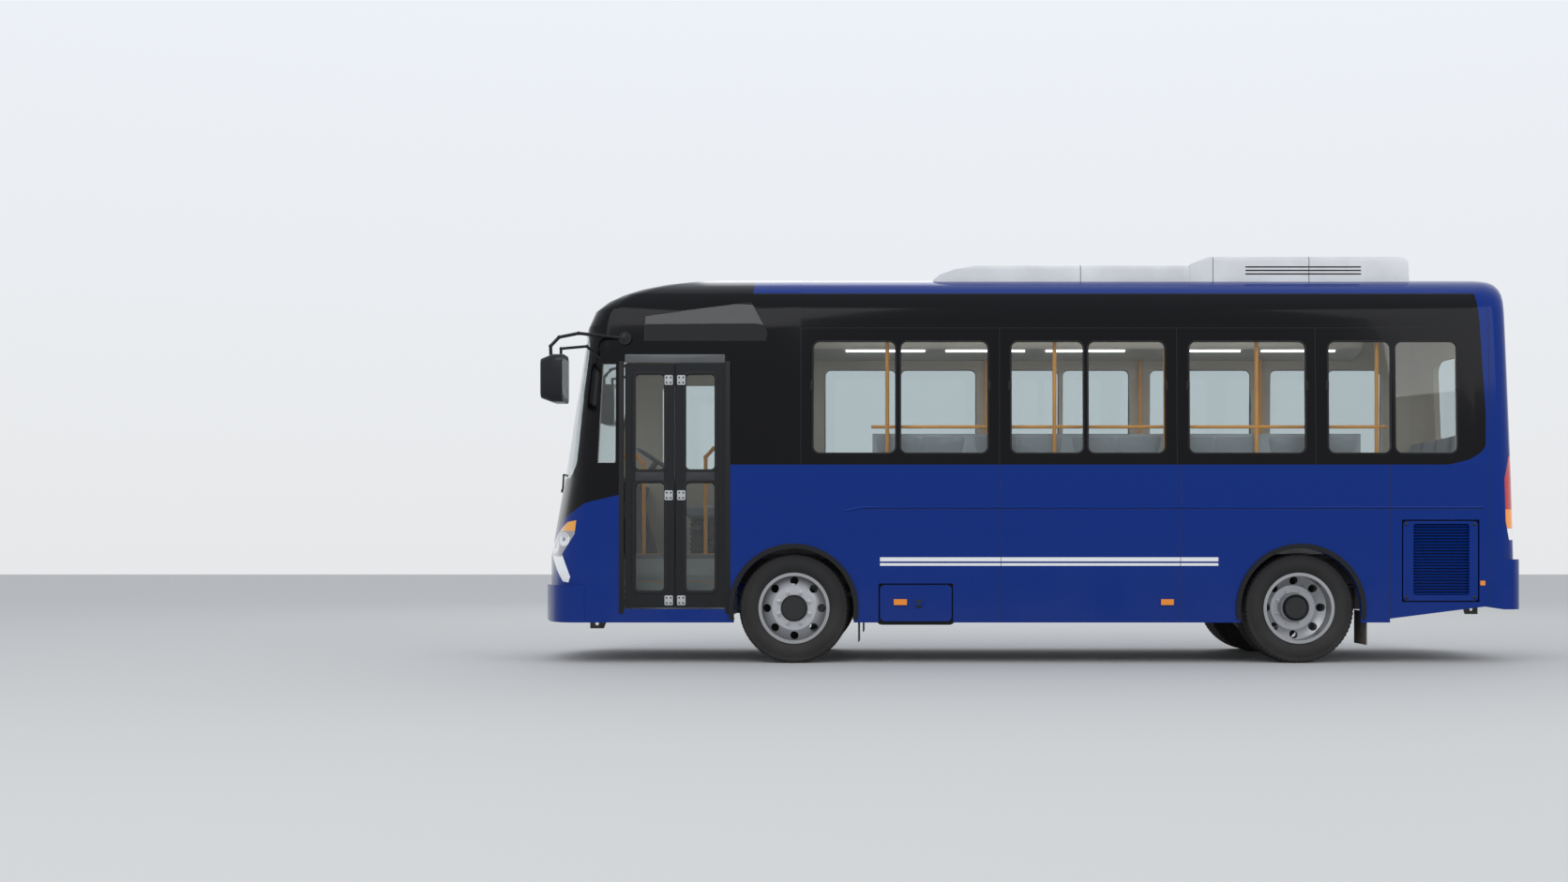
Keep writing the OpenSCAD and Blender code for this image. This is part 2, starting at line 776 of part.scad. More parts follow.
// Steering column, from the dashboard up to the wheel
column_foot = [3600, -570, 1450];
column_top = [3380, -570, 1790];
column_lean = atan2(column_foot[0] - column_top[0], column_top[2] - column_foot[2]);

dash_plan = [[3400, -1090], [3690, -1090], [3740, -1040], [3850, -860], [3930, -500], [3980, 0], [3950, 420],
    [3400, 420]];

module dashboard() {
    color(dark_grey) {
        difference() {
            intersection() {
                side_prism([[3440, floor_z], [3560, 1380], [3520, 1560], [3640, 1620], [4000, 1570], [4000, floor_z]],
                    -1090, 420);
                translate([0, 0, floor_z]) linear_extrude(800) polygon(dash_plan);
            }
            side_prism([[3400, floor_z - 1], [3400, 1300], [3520, 1300], [3600, floor_z - 1]], -880, -260);
        }
        bar(column_foot, column_top, 28);
    }
}

module steering_wheel() {
    color(black) translate(column_top) rotate([0, -column_lean, 0]) {
        translate([0, 0, 8]) rotate_extrude() translate([215, 0]) circle(r = 15, $fn = 24);
        cylinder(r = 50, h = 24);
        for (a = [0:120:240]) {
            rotate([0, 0, a]) translate([30, -14, 2]) cube([178, 28, 12]);
        }
    }
}

module driver_seat() {
    color(cloth) {
        box(2680, -820, floor_z, 3060, -320, floor_z + 330);
        box(2640, -830, floor_z + 330, 3120, -310, floor_z + 450);
        side_prism([[2640, floor_z + 450], [2520, 2020], [2430, 2020], [2560, floor_z + 330], [2640, floor_z + 330]],
            -800, -340);
    }
}

bench_front_x = 1330;
bench_rear_x = -2840;
bench_top_z = 1970;
seat_z = floor_z + seat_h;
bench_section = [[590, seat_z], [610, seat_z - 90], [700, seat_z - 110], [700, floor_z], [1040, floor_z],
    [1040, bench_top_z - 20], [1020, bench_top_z], [990, bench_top_z - 10], [950, seat_z]];

module bench() {
    difference() {
        front_prism(bench_section, bench_rear_x, bench_front_x);
        box(rear_axle_x - box_half - sheet, 0, 0, rear_axle_x + box_half + sheet, 1300, box_top_z);
    }
}

module left_bench() {
    color(cloth) bench();
}

module right_bench() {
    color(cloth) mirror([0, 1, 0]) bench();
}

module rear_bench() {
    color(cloth) side_prism([[-3940, deck_z], [-3500, deck_z], [-3440, deck_z + 240], [-3440, deck_z + 330],
        [-3800, deck_z + 330], [-3860, 2020], [-3940, 2020]], -1080, 1080);
}

// Poles and rails stand between the seat backs and the windows; two hoops guard the entrance
pole_r = 17;
rail_r = 14;
pole_y = 1074;
pole_top_z = 2960;
left_pole_xs = [1194, -223, -1163, -1935, -2954];
right_pole_xs = [248, -1245, -2411];
rail_z = 2000;
hoop_y = 430;

module pole(x) {
    over_wheel = abs(x - rear_axle_x) < box_half + sheet + pole_r;
    foot_z = over_wheel ? box_top_z : x > deck_x ? floor_z : deck_z;
    bar([x, pole_y, foot_z], [x, pole_y, pole_top_z], pole_r);
    bar([x, pole_y, pole_top_z - 40], [x, side_y(pole_top_z - 40, wall + 4), pole_top_z - 40], pole_r - 4);
}

module window_rail() {
    bar([bench_rear_x - 200, pole_y, rail_z], [bench_front_x, pole_y, rail_z], rail_r);
    for (x = [bench_front_x - 30, bench_rear_x - 170]) {
        bar([x, pole_y, rail_z], [x, side_y(rail_z, wall + 1), rail_z], rail_r - 3);
    }
}

module grab_rails() {
    color(orange) {
        for (x = left_pole_xs) {
            pole(x);
        }
        window_rail();
        mirror([0, 1, 0]) {
            for (x = right_pole_xs) {
                pole(x);
            }
            window_rail();
        }
        rod([[2805, hoop_y, floor_z], [2805, hoop_y, 1780], [2735, hoop_y, 1855], [2490, hoop_y, 1855],
            [2420, hoop_y, 1780], [2420, hoop_y, floor_z]], pole_r);
        rod([[3358, hoop_y - 40, floor_z], [3358, hoop_y - 40, 1720], [3425, hoop_y - 40, 1790],
            [3550, hoop_y - 40, 1790], [3600, hoop_y - 40, 1730], [3600, hoop_y - 40, 1610]], pole_r);
    }
}

module ceiling_lights() {
    color(white) intersection() {
        front_prism(concat(roof_half(wall), mirrored(roof_half(wall))), -3400, front_seam_x);
        both_sides() box(-3100, 290, 3225, 1800, 430, 3330);
    }
}

// Folding door: the front leaf turns on the jamb, the rear leaf on the middle hinge outside
leaf_y = 1168;
split_x = (door_front_x + door_rear_x) / 2;
hinge_y = leaf_y + 8;
split_gap = 8;
leaf_rim = 85;
bar_z = [1523, 1632];
hinge_zs = [487, 1373, 2344];
hinge_h = 88;

function leaf_panes(x0, x1) = [
    [x0 + leaf_rim, door_low_z + 140, x1 - leaf_rim, bar_z[0]],
    [x0 + leaf_rim, bar_z[1], x1 - leaf_rim, door_top_z - 92]];

module leaf(x0, x1) {
    difference() {
        box(x0, leaf_y - leaf_t, door_low_z, x1, leaf_y, door_top_z);
        for (p = leaf_panes(x0, x1)) {
            side_prism(round_rect(p[0], p[1], p[2], p[3], 40), leaf_y - leaf_t - 1, leaf_y + 1);
        }
    }
}

module leaf_glass(x0, x1) {
    for (p = leaf_panes(x0, x1)) {
        side_prism(round_rect(p[0], p[1], p[2], p[3], 40), leaf_y - 22, leaf_y - 14);
    }
}

// Hinge plates on one leaf, each with its half of the barrel
module hinge_half(side, low) {
    for (z = hinge_zs) {
        box(min(split_x + side * 10, split_x + side * 90), leaf_y, z, max(split_x + side * 10, split_x + side * 90),
            leaf_y + 5, z + hinge_h);
        translate([split_x, hinge_y, z + (low ? 0 : hinge_h / 2 + 1)]) cylinder(r = 6, h = hinge_h / 2 - 1);
        box(min(split_x, split_x + side * 10), leaf_y + 2, z + (low ? 0 : hinge_h / 2 + 1),
            max(split_x, split_x + side * 10), leaf_y + 5, z + (low ? hinge_h / 2 - 1 : hinge_h));
    }
}

module door_leaf_front() {
    color(black) {
        leaf(split_x + split_gap / 2, door_front_x);
        hinge_half(1, true);
    }
}

module door_leaf_rear() {
    color(black) {
        leaf(door_rear_x, split_x - split_gap / 2);
        hinge_half(-1, false);
    }
}

module door_glass_front() {
    color(glass) leaf_glass(split_x + split_gap / 2, door_front_x);
}

module door_glass_rear() {
    color(glass) leaf_glass(door_rear_x, split_x - split_gap / 2);
}

flap_t = 38;

module side_hatch() {
    color(blue) {
        side_prism(round_rect(hatch[0], hatch[1], hatch[2], hatch[3], 40), half_w - 2 - flap_t, half_w - 2);
        box(900, half_w - 2, 490, 960, half_w + 10, 516);
    }
}

slat_count = 24;

module grille_door() {
    field = [-3700, 577, -3231, 1176];
    pitch = (field[3] - field[1]) / slat_count;
    color(blue) {
        difference() {
            side_prism(round_rect(grille[0], grille[1], grille[2], grille[3], 30), half_w - 2 - flap_t, half_w - 2);
            side_prism(round_rect(field[0], field[1], field[2], field[3], 20), half_w - 100, half_w + 100);
        }
        for (i = [0:slat_count - 1]) {
            translate([field[0] - 5, half_w - 21, field[1] + pitch * (i + 0.5)]) rotate([-35, 0, 0])
                translate([0, -12, -2]) cube([field[2] - field[0] + 10, 24, 4]);
        }
    }
}

module engine_lid() {
    color(blue) intersection() {
        end_wall(false, 3, 45, 480);
        box(-4400, -lid_half_w, lid_low_z, -3700, lid_half_w, lid_top_z);
    }
}

// Wheels: one revolved section each, with the studs' ring and hand holes
bead_r = 287;
flange_r = 300;
flange_y = 112;
disc_t = 14;
hand_hole_r = 35;
hand_hole_at = 231;
hub_r = 110;
barrel = [[bead_r, -flange_y + 10], [bead_r, flange_y - 10], [flange_r, flange_y - 6], [flange_r, flange_y],
    [bead_r - 14, flange_y], [bead_r - 14, -flange_y], [flange_r, -flange_y], [flange_r, -flange_y + 6]];

// A body turned about the wheel's axle, drawn as radius and distance outward
module turned(pts) {
    rotate([-90, 0, 0]) rotate_extrude() polygon(pts);
}

module hand_holes(y0, y1) {
    for (a = [0:45:315]) {
        rotate([0, a, 0]) translate([hand_hole_at, y1, 0]) rotate([90, 0, 0]) cylinder(r = hand_hole_r, h = y1 - y0);
    }
}

module front_rim() {
    translate([front_axle_x, wheel_y, axle_z]) difference() {
        union() {
            turned(barrel);
            difference() {
                turned([[0, 84], [175, 84], [274, 10], [274, 30], [185, 84 + disc_t], [0, 84 + disc_t]]);
                hand_holes(-20, 120);
            }
            turned([[0, 30], [70, 30], [70, 84], [hub_r, 84], [hub_r, 128], [hub_r - 12, 140], [0, 140]]);
        }
        translate([0, 102, 0]) rotate([90, 0, 0]) cylinder(r = spindle_r + hub_gap, h = 200);
    }
}

module front_left_rim() {
    color(silver) front_rim();
}

module front_right_rim() {
    color(silver) mirror([0, 1, 0]) front_rim();
}

module twin_rims() {
    mid_y = wheel_y - twin_gap / 2;
    translate([rear_axle_x, 0, axle_z]) difference() {
        union() {
            translate([0, wheel_y, 0]) turned(barrel);
            translate([0, wheel_y - twin_gap, 0]) turned(barrel);
            difference() {
                translate([0, mid_y, 0]) turned([[0, -disc_t], [190, -disc_t], [274, -70], [274, -45], [200, 0],
                    [274, 45], [274, 70], [190, disc_t], [0, disc_t]]);
                hand_holes(mid_y - 100, mid_y + 100);
            }
            translate([0, mid_y, 0]) turned([[0, -190], [100, -190], [100, -disc_t], [hub_r + 20, disc_t],
                [hub_r + 10, 120], [hub_r - 20, 150], [0, 150]]);
        }
        translate([0, mid_y + 20, 0]) rotate([90, 0, 0]) cylinder(r = 56, h = 400);
    }
}

module rear_left_rims() {
    color(silver) twin_rims();
}

module rear_right_rims() {
    color(silver) mirror([0, 1, 0]) twin_rims();
}

// Tyre section: bead, bulged sidewall, round shoulder and tread
half_t = tyre_w / 2;
tyre_half = concat([[bead_r, flange_y - 12]], [[flange_r + 6, flange_y - 5]],
    [for (a = [0:6]) [flange_r + 20 + (tyre_r - 60 - flange_r) * a / 6, half_t - 12 * pow(a / 3 - 1, 2)]],
    arc(tyre_r - 30, half_t - 42, 30, 90, 0, 5));

module tyre(x, y) {
    translate([x, y, axle_z])
        turned(concat(tyre_half, [for (i = [len(tyre_half) - 1:-1:0]) [tyre_half[i][0], -tyre_half[i][1]]]));
}

module front_left_tyre() {
    color(rubber) tyre(front_axle_x, wheel_y);
}

module front_right_tyre() {
    color(rubber) mirror([0, 1, 0]) tyre(front_axle_x, wheel_y);
}

module twin_tyres() {
    tyre(rear_axle_x, wheel_y);
    tyre(rear_axle_x, wheel_y - twin_gap);
}

module rear_left_tyres() {
    color(rubber) twin_tyres();
}

module rear_right_tyres() {
    color(rubber) mirror([0, 1, 0]) twin_tyres();
}

chassis_frame();
cross_members();
tow_eyes();
floor_deck();
floor_boxes();
left_side();
left_band();
left_front();
right_side();
right_band();
right_front();
roof();
front_dome();
front_mask();
front_bumper();
rear_wall();
rear_bumper();
windscreen();
left_windows();
right_windows();
rear_window();
headlamps();
tail_lamps();
marker_lamps();
air_conditioner();
arch_flares();
mud_flaps();
mirrors();
wipers();
front_axle();
rear_axle();
springs();
engine();
dashboard();
steering_wheel();
driver_seat();
left_bench();
right_bench();
rear_bench();
grab_rails();
ceiling_lights();
door_leaf_front();
door_glass_front();
door_leaf_rear();
door_glass_rear();
side_hatch();
hatch_marker();
grille_door();
engine_lid();
knuckle_left();
knuckle_right();
front_left_rim();
front_right_rim();
rear_left_rims();
rear_right_rims();
front_left_tyre();
front_right_tyre();
rear_left_tyres();
rear_right_tyres();
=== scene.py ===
import math

import bpy
import numpy as np
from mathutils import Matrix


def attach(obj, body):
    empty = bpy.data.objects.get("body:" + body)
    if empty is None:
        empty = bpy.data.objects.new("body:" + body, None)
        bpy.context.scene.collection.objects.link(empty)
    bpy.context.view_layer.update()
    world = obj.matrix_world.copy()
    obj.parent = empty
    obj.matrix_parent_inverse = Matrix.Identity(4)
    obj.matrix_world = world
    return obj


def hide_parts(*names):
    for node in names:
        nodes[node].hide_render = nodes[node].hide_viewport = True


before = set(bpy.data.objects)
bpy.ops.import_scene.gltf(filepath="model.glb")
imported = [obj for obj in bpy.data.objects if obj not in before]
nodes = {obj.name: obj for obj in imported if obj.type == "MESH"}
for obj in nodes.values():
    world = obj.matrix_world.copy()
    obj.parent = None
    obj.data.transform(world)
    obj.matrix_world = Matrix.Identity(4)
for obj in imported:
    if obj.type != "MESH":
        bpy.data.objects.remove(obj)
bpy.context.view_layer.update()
sides = (("left", 1), ("right", -1))
print("frame:", len(nodes), "nodes")


# camera: square to the door side, shifted so that the bus sits right of the middle as in the photograph
cameraSetup = {
    "place": (1.083, 15.9, 0.93),
    "lens": 40.15,
    "shift": (-0.0742, 0.0715),
}


def makeCamera(setup):
    camData = bpy.data.cameras.new("camera")
    camData.lens = setup["lens"]
    camData.sensor_width = 36.0
    camData.shift_x, camData.shift_y = setup["shift"]
    camData.clip_end = 400.0
    cam = bpy.data.objects.new("camera", camData)
    cam.location = setup["place"]
    cam.rotation_euler = (math.radians(90), 0, math.radians(180))
    bpy.context.scene.collection.objects.link(cam)
    bpy.context.scene.camera = cam


makeCamera(cameraSetup)
print("camera set")


# small helpers for node trees: nodes and links go into the tree that was begun last
work = {}


def begin(tree):
    work["tree"] = tree
    return tree


def plug(socket, value):
    if isinstance(value, bpy.types.NodeSocket):
        work["tree"].links.new(value, socket)
    else:
        socket.default_value = value


def setInputs(node, values):
    for key, value in values.items():
        plug(node.inputs[key], value)


def addNode(kind, values=None, **props):
    node = work["tree"].nodes.new(kind)
    for key, value in props.items():
        setattr(node, key, value)
    setInputs(node, values or {})
    return node


def calc(operation, a, b=0.0, c=0.0):
    return addNode("ShaderNodeMath", {0: a, 1: b, 2: c}, operation=operation).outputs[0]


def times(a, b):
    return calc("MULTIPLY", a, b)


def minus(a, b):
    return calc("SUBTRACT", a, b)


def larger(a, b):
    return calc("MAXIMUM", a, b)


def step(value, low, high):
    # 0 at low and 1 at high, with a straight ramp between
    values = {"Value": value, "From Min": low, "From Max": high}
    return addNode("ShaderNodeMapRange", values, clamp=True).outputs["Result"]


def within(value, low, high, soft):
    # 1 from low to high, with soft edges
    return times(step(value, low - soft, low + soft), step(value, high + soft, high - soft))


def between(value, low, high):
    # 1 from low to high, with hard edges
    return times(calc("GREATER_THAN", value, low), calc("LESS_THAN", value, high))


def seamLine(value, at, edges):
    # 1 along a line, fading out between its inner and outer edge
    outer, inner = edges
    return step(calc("ABSOLUTE", minus(value, at)), outer, inner)


def farFrom(x, z, centre):
    # distance from a centre, seen from the side
    across = minus(x, centre[0])
    upward = minus(z, centre[1])
    return calc("SQRT", calc("MULTIPLY_ADD", across, across, times(upward, upward)))


def mixColor(factor, a, b):
    return addNode("ShaderNodeMix", {0: factor, 6: a, 7: b}, data_type="RGBA").outputs[2]


def noise(vector, scale, detail):
    values = {"Vector": vector, "Scale": scale, "Detail": detail}
    return addNode("ShaderNodeTexNoise", values).outputs["Fac"]


def wave(vector, scale, direction):
    values = {"Vector": vector, "Scale": scale}
    return addNode("ShaderNodeTexWave", values, bands_direction=direction).outputs["Fac"]


def bump(height, strength, distance):
    values = {"Height": height, "Strength": strength, "Distance": distance}
    return addNode("ShaderNodeBump", values).outputs["Normal"]


def scaled(color, factor):
    return addNode("ShaderNodeVectorMath", {0: color, "Scale": factor}, operation="SCALE").outputs[0]


def shade(color, factor=1.0):
    # a colour made darker or lighter, with its alpha
    return (*(factor * c for c in color), 1)


def curveOf(value, points, span):
    # a line through the points: inputs in metres over the span, outputs from 0 to 1
    node = addNode("ShaderNodeFloatCurve")
    low, high = span
    curve = node.mapping.curves[0]
    flat = [((x - low) / (high - low), y) for x, y in points]
    curve.points[0].location = flat[0]
    curve.points[1].location = flat[-1]
    for point in flat[1:-1]:
        curve.points.new(*point)
    for point in curve.points:
        point.handle_type = "VECTOR"
    node.mapping.extend = "HORIZONTAL"
    node.mapping.update()
    plug(node.inputs["Value"], step(value, low, high))
    return node.outputs[0]


def newMaterial(name, base=(0.5, 0.5, 0.5), rough=0.5, metal=0.0):
    mat = bpy.data.materials.new(name)
    mat.use_nodes = True
    bsdf = begin(mat.node_tree).nodes["Principled BSDF"]
    setInputs(bsdf, {"Base Color": shade(base), "Roughness": rough, "Metallic": metal})
    return mat, bsdf


def place():
    # object coordinates: the vector, then its X and Z
    coords = addNode("ShaderNodeTexCoord").outputs["Object"]
    split = addNode("ShaderNodeSeparateXYZ", {0: coords})
    return coords, split.outputs["X"], split.outputs["Z"]


# shared effects
def groupFrame(name, inputs, outputs):
    tree = begin(bpy.data.node_groups.new(name, "ShaderNodeTree"))
    for label, kind, value in inputs:
        socket = tree.interface.new_socket(label, in_out="INPUT", socket_type=kind)
        socket.default_value = value
    for label, kind in outputs:
        tree.interface.new_socket(label, in_out="OUTPUT", socket_type=kind)
    return tree, addNode("NodeGroupInput"), addNode("NodeGroupOutput")


def makeDustGroup():
    # road dust: strongest at the ground, broken up by two sizes of noise
    tree, given, out = groupFrame(
        "roadDust",
        [("Vector", "NodeSocketVector", (0, 0, 0)), ("Top", "NodeSocketFloat", 0.9),
         ("Amount", "NodeSocketFloat", 0.3)],
        [("Mask", "NodeSocketFloat")],
    )
    vector = given.outputs["Vector"]
    height = addNode("ShaderNodeSeparateXYZ", {0: vector}).outputs["Z"]
    fall = minus(1.0, calc("DIVIDE", height, given.outputs["Top"]))
    clouds = noise(vector, 3.0, 6.0)
    grit = noise(vector, 60.0, 3.0)
    broken = times(clouds, calc("ADD", grit, 0.5))
    mask = times(larger(fall, 0.0), broken)
    plug(out.inputs["Mask"], times(mask, given.outputs["Amount"]))
    return tree


def makeGrainGroup():
    # moulded grain: fine noise as bump, with a little change of tone
    tree, given, out = groupFrame(
        "grain",
        [("Vector", "NodeSocketVector", (0, 0, 0)), ("Scale", "NodeSocketFloat", 300.0),
         ("Strength", "NodeSocketFloat", 0.2), ("Depth", "NodeSocketFloat", 0.001)],
        [("Tone", "NodeSocketFloat"), ("Normal", "NodeSocketVector")],
    )
    vector = given.outputs["Vector"]
    fine = noise(vector, given.outputs["Scale"], 4.0)
    broad = noise(vector, 2.5, 3.0)
    plug(out.inputs["Tone"], calc("MULTIPLY_ADD", broad, 0.5, 0.75))
    plug(out.inputs["Normal"], bump(fine, given.outputs["Strength"], given.outputs["Depth"]))
    return tree


dustGroup = makeDustGroup()
grainGroup = makeGrainGroup()


def dustMask(vector, top, amount):
    values = {"Vector": vector, "Top": top, "Amount": amount}
    return addNode("ShaderNodeGroup", values, node_tree=dustGroup).outputs["Mask"]


def grainOf(vector, scale, strength):
    values = {"Vector": vector, "Scale": scale, "Strength": strength}
    group = addNode("ShaderNodeGroup", values, node_tree=grainGroup)
    return group.outputs["Tone"], group.outputs["Normal"]


# body paint: blue below and behind, black round the windows and over the nose
paintPlan = {
    "blue": (0.001, 0.026, 0.21, 1),
    "black": (0.003, 0.003, 0.004, 1),
    "lining": (0.58, 0.50, 0.40, 1),
    "dust": (0.33, 0.30, 0.26, 1),
    "stripe": (0.85, 0.86, 0.88, 1),
    "seam": (0.02, 0.022, 0.03, 1),
    "soft": 0.0015,
    "span": (-4.2, 4.2),
    "tallest": 4.0,
    "border": [(-4.2, 4.0), (-3.87, 4.0), (-3.858, 1.86), (-3.80, 1.775), (-3.70, 1.715), (-3.53, 1.674),
               (2.533, 1.674), (3.00, 1.54), (3.439, 1.422), (3.739, 1.351), (3.936, 1.225), (4.2, 1.0)],
    "rearEdge": (-3.858, 1.855, -3.784, 3.116),
    "roofLine": 3.132,
    "roofFront": 2.33,
    "stripes": [(0.860, 0.894), (0.823, 0.845)],
    "stripeEnds": (-1.590, 1.254),
    "seamEdges": (0.0035, 0.002),
    "uprightSeams": [(1.921, 1.674, 2.829), (0.248, 1.674, 2.829), (-1.245, 1.674, 2.829),
                     (-2.411, 1.674, 2.829), (0.237, 0.345, 1.674), (-1.273, 0.345, 1.674),
                     (-3.034, 0.40, 1.674), (-3.872, 0.45, 3.1)],
    "levelSeams": [(2.829, -3.74, 1.921), (3.132, -3.74, 2.33), (1.301, -3.82, 1.40)],
    "core": (-3.3, 2.2, 1.75),
    "inward": (-0.02, -0.05),
    "engineX": -3.42,
    "engineRise": 0.5,
    "floorZ": 0.9,
}


def makeBodyPaint(name, plan, lined):
    mat, bsdf = newMaterial(name, rough=0.16)
    vector, x, z = place()
    soft, tallest = plan["soft"], plan["tallest"]

    def past(value, limit):
        return step(minus(value, limit), -soft, soft)

    border = curveOf(x, [(a, b / tallest) for a, b in plan["border"]], plan["span"])
    x0, z0, x1, z1 = plan["rearEdge"]
    rearX = calc("MULTIPLY_ADD", minus(z, z0), (x1 - x0) / (z1 - z0), x0)
    black = times(past(z, times(border, tallest)), past(x, rearX))
    black = times(black, larger(past(plan["roofLine"], z), past(x, plan["roofFront"])))
    color = mixColor(black, plan["blue"], plan["black"])
    ends = within(x, *plan["stripeEnds"], soft)
    for bottom, top in plan["stripes"]:
        inside = within(z, bottom, top, soft)
        color = mixColor(times(inside, ends), color, plan["stripe"])
    seams = 0.0
    for across, along, rows in ((x, z, plan["uprightSeams"]), (z, x, plan["levelSeams"])):
        for at, low, high in rows:
            line = seamLine(across, at, plan["seamEdges"])
            seams = larger(seams, times(line, between(along, low, high)))
    color = mixColor(times(seams, 0.85), color, plan["seam"])
    # faces that look at the cabin's middle line are lining
    coreRear, coreFront, coreZ = plan["core"]
    coreX = calc("MINIMUM", larger(x, coreRear), coreFront)
    core = addNode("ShaderNodeCombineXYZ", {"X": coreX, "Y": 0.0, "Z": coreZ}).outputs[0]
    away = addNode("ShaderNodeVectorMath", {0: vector, 1: core}, operation="SUBTRACT").outputs[0]
    normal = addNode("ShaderNodeTexCoord").outputs["Normal"]
    facing = addNode("ShaderNodeVectorMath", {0: away, 1: normal}, operation="DOT_PRODUCT")
    inward = step(facing.outputs["Value"], *plan["inward"])
    # lining stops at the floor and over the engine
    overEngine = calc("LESS_THAN", x, plan["engineX"])
    lowest = calc("MULTIPLY_ADD", overEngine, plan["engineRise"], plan["floorZ"])
    inward = times(inward, calc("GREATER_THAN", z, lowest) if lined else 0.0)
    dust = dustMask(vector, 1.1, 0.06)
    color = mixColor(dust, color, plan["dust"])
    rough = calc("ADD", times(dust, 0.6), 0.14)
    surface = minus(times(noise(vector, 90.0, 1.0), 0.02), seams)
    setInputs(bsdf, {
        "Base Color": mixColor(inward, color, plan["lining"]),
        "Roughness": calc("MULTIPLY_ADD", inward, 0.4, rough),
        "Coat Weight": times(minus(1.0, inward), 0.06),
        "Normal": bump(surface, 0.5, 0.003),
        "Specular IOR Level": 0.12,
    })
    return mat


def makeGrained(name, color, rough, scale, strength, dustAmount=0.0, metal=0.0):
    mat, bsdf = newMaterial(name, rough=rough, metal=metal)
    vector = place()[0]
    tone, normal = grainOf(vector, scale, strength)
    result = scaled(color, tone)
    if dustAmount:
        result = mixColor(dustMask(vector, 1.2, dustAmount), result, paintPlan["dust"])
    setInputs(bsdf, {"Base Color": result, "Normal": normal, "Specular IOR Level": 0.3})
    return mat


podShellPlan = {
    "color": (0.72, 0.73, 0.74),
    "seam": (0.10, 0.10, 0.10, 1),
    "seams": (-0.475, -1.62, -2.45),
    "seamEdges": (0.005, 0.003),
}


def makePodShell(plan):
    # white shell with cross seams
    mat, bsdf = newMaterial("podShell", rough=0.32)
    vector, x = place()[:2]
    tone = grainOf(vector, 160, 0.05)[0]
    dust = dustMask(vector, 6.0, 0.12)
    color = mixColor(dust, scaled(plan["color"], tone), paintPlan["dust"])
    depth = 0.0
    for at in plan["seams"]:
        line = seamLine(x, at, plan["seamEdges"])
        color = mixColor(times(line, 0.8), color, plan["seam"])
        depth = larger(depth, line)
    setInputs(bsdf, {"Base Color": color, "Normal": bump(times(depth, -1.0), 0.5, 0.006)})
    return mat


# glass with faint smears; the light over the door is nearly black
glassPlan = {
    "color": (0.70, 0.76, 0.77),
    "dark": (0.05, 0.055, 0.06, 1),
    "darkZ": 2.62,
    "darkX": (2.03, 3.53),
}


def makeGlass(plan):
    mat, bsdf = newMaterial("paneGlass", base=plan["color"], rough=0.0)
    vector, x, z = place()
    smear = step(noise(vector, 4.0, 5.0), 0.45, 0.8)
    overDoor = times(calc("GREATER_THAN", z, plan["darkZ"]), between(x, *plan["darkX"]))
    setInputs(bsdf, {
        "Base Color": mixColor(overDoor, shade(plan["color"]), plan["dark"]),
        "Roughness": times(smear, 0.03),
        "Transmission Weight": 1.0,
        "IOR": 1.45,
        "Specular IOR Level": 0.25,
    })
    # light passes straight through where it would cast a shadow
    shadow = addNode("ShaderNodeLightPath").outputs["Is Shadow Ray"]
    pale = [0.5 + 0.5 * c for c in plan["color"]]
    clear = addNode("ShaderNodeBsdfTransparent", {"Color": shade(pale)}).outputs[0]
    both = addNode("ShaderNodeMixShader", {0: shadow, 1: bsdf.outputs[0], 2: clear})
    plug(mat.node_tree.nodes["Material Output"].inputs["Surface"], both.outputs[0])
    return mat


def makeLight(name, color, strength):
    mat, bsdf = newMaterial(name, base=color, rough=0.4)
    ribs = wave(place()[0], 20.0, "X")
    glow = mixColor(ribs, shade(color), (1, 1, 1, 1))
    setInputs(bsdf, {"Emission Color": glow, "Emission Strength": strength})
    return mat


def makeLens(name, color, bands=()):
    # fluted lamp cover; each band is (lower edge, upper edge, colour)
    mat, bsdf = newMaterial(name, base=color, rough=0.12)
    vector, z = place()[::2]
    flutes = wave(vector, 40.0, "Z")
    tone = mixColor(flutes, shade(color, 0.6), shade(color))
    soft = 0.002
    for low, top, other in bands:
        tone = mixColor(within(z, low + soft, top - soft, soft), tone, shade(other))
    setInputs(bsdf, {
        "Base Color": tone,
        "Coat Weight": 0.5,
        "Normal": bump(flutes, 0.3, 0.003),
        "Emission Color": tone,
        "Emission Strength": 0.3,
    })
    return mat


# headlamp: ringed bowls in a bright reflector, their rings a painted reflection of light and dark bands, a
# white running light below and an amber corner above
headlampPlan = {
    "reflector": (0.30, 0.31, 0.33, 1),
    "ringPaintedShade": (0.55, 0.57, 0.60, 1),
    "ringPaintedHighlight": (0.95, 0.96, 0.98, 1),
    "bulb": (0.10, 0.11, 0.13, 1),
    "running": (0.90, 0.93, 0.97, 1),
    "amber": (0.85, 0.36, 0.03, 1),
    "bowls": [(4.055, 0.985, 0.062), (3.935, 1.045, 0.060)],
    "bowlEdge": 0.004,
    "ringWidth": 0.011,
    "bulbEdges": (0.017, 0.012),
    "runningTop": 0.905,
    "amberLow": 1.115,
    "soft": 0.006,
}


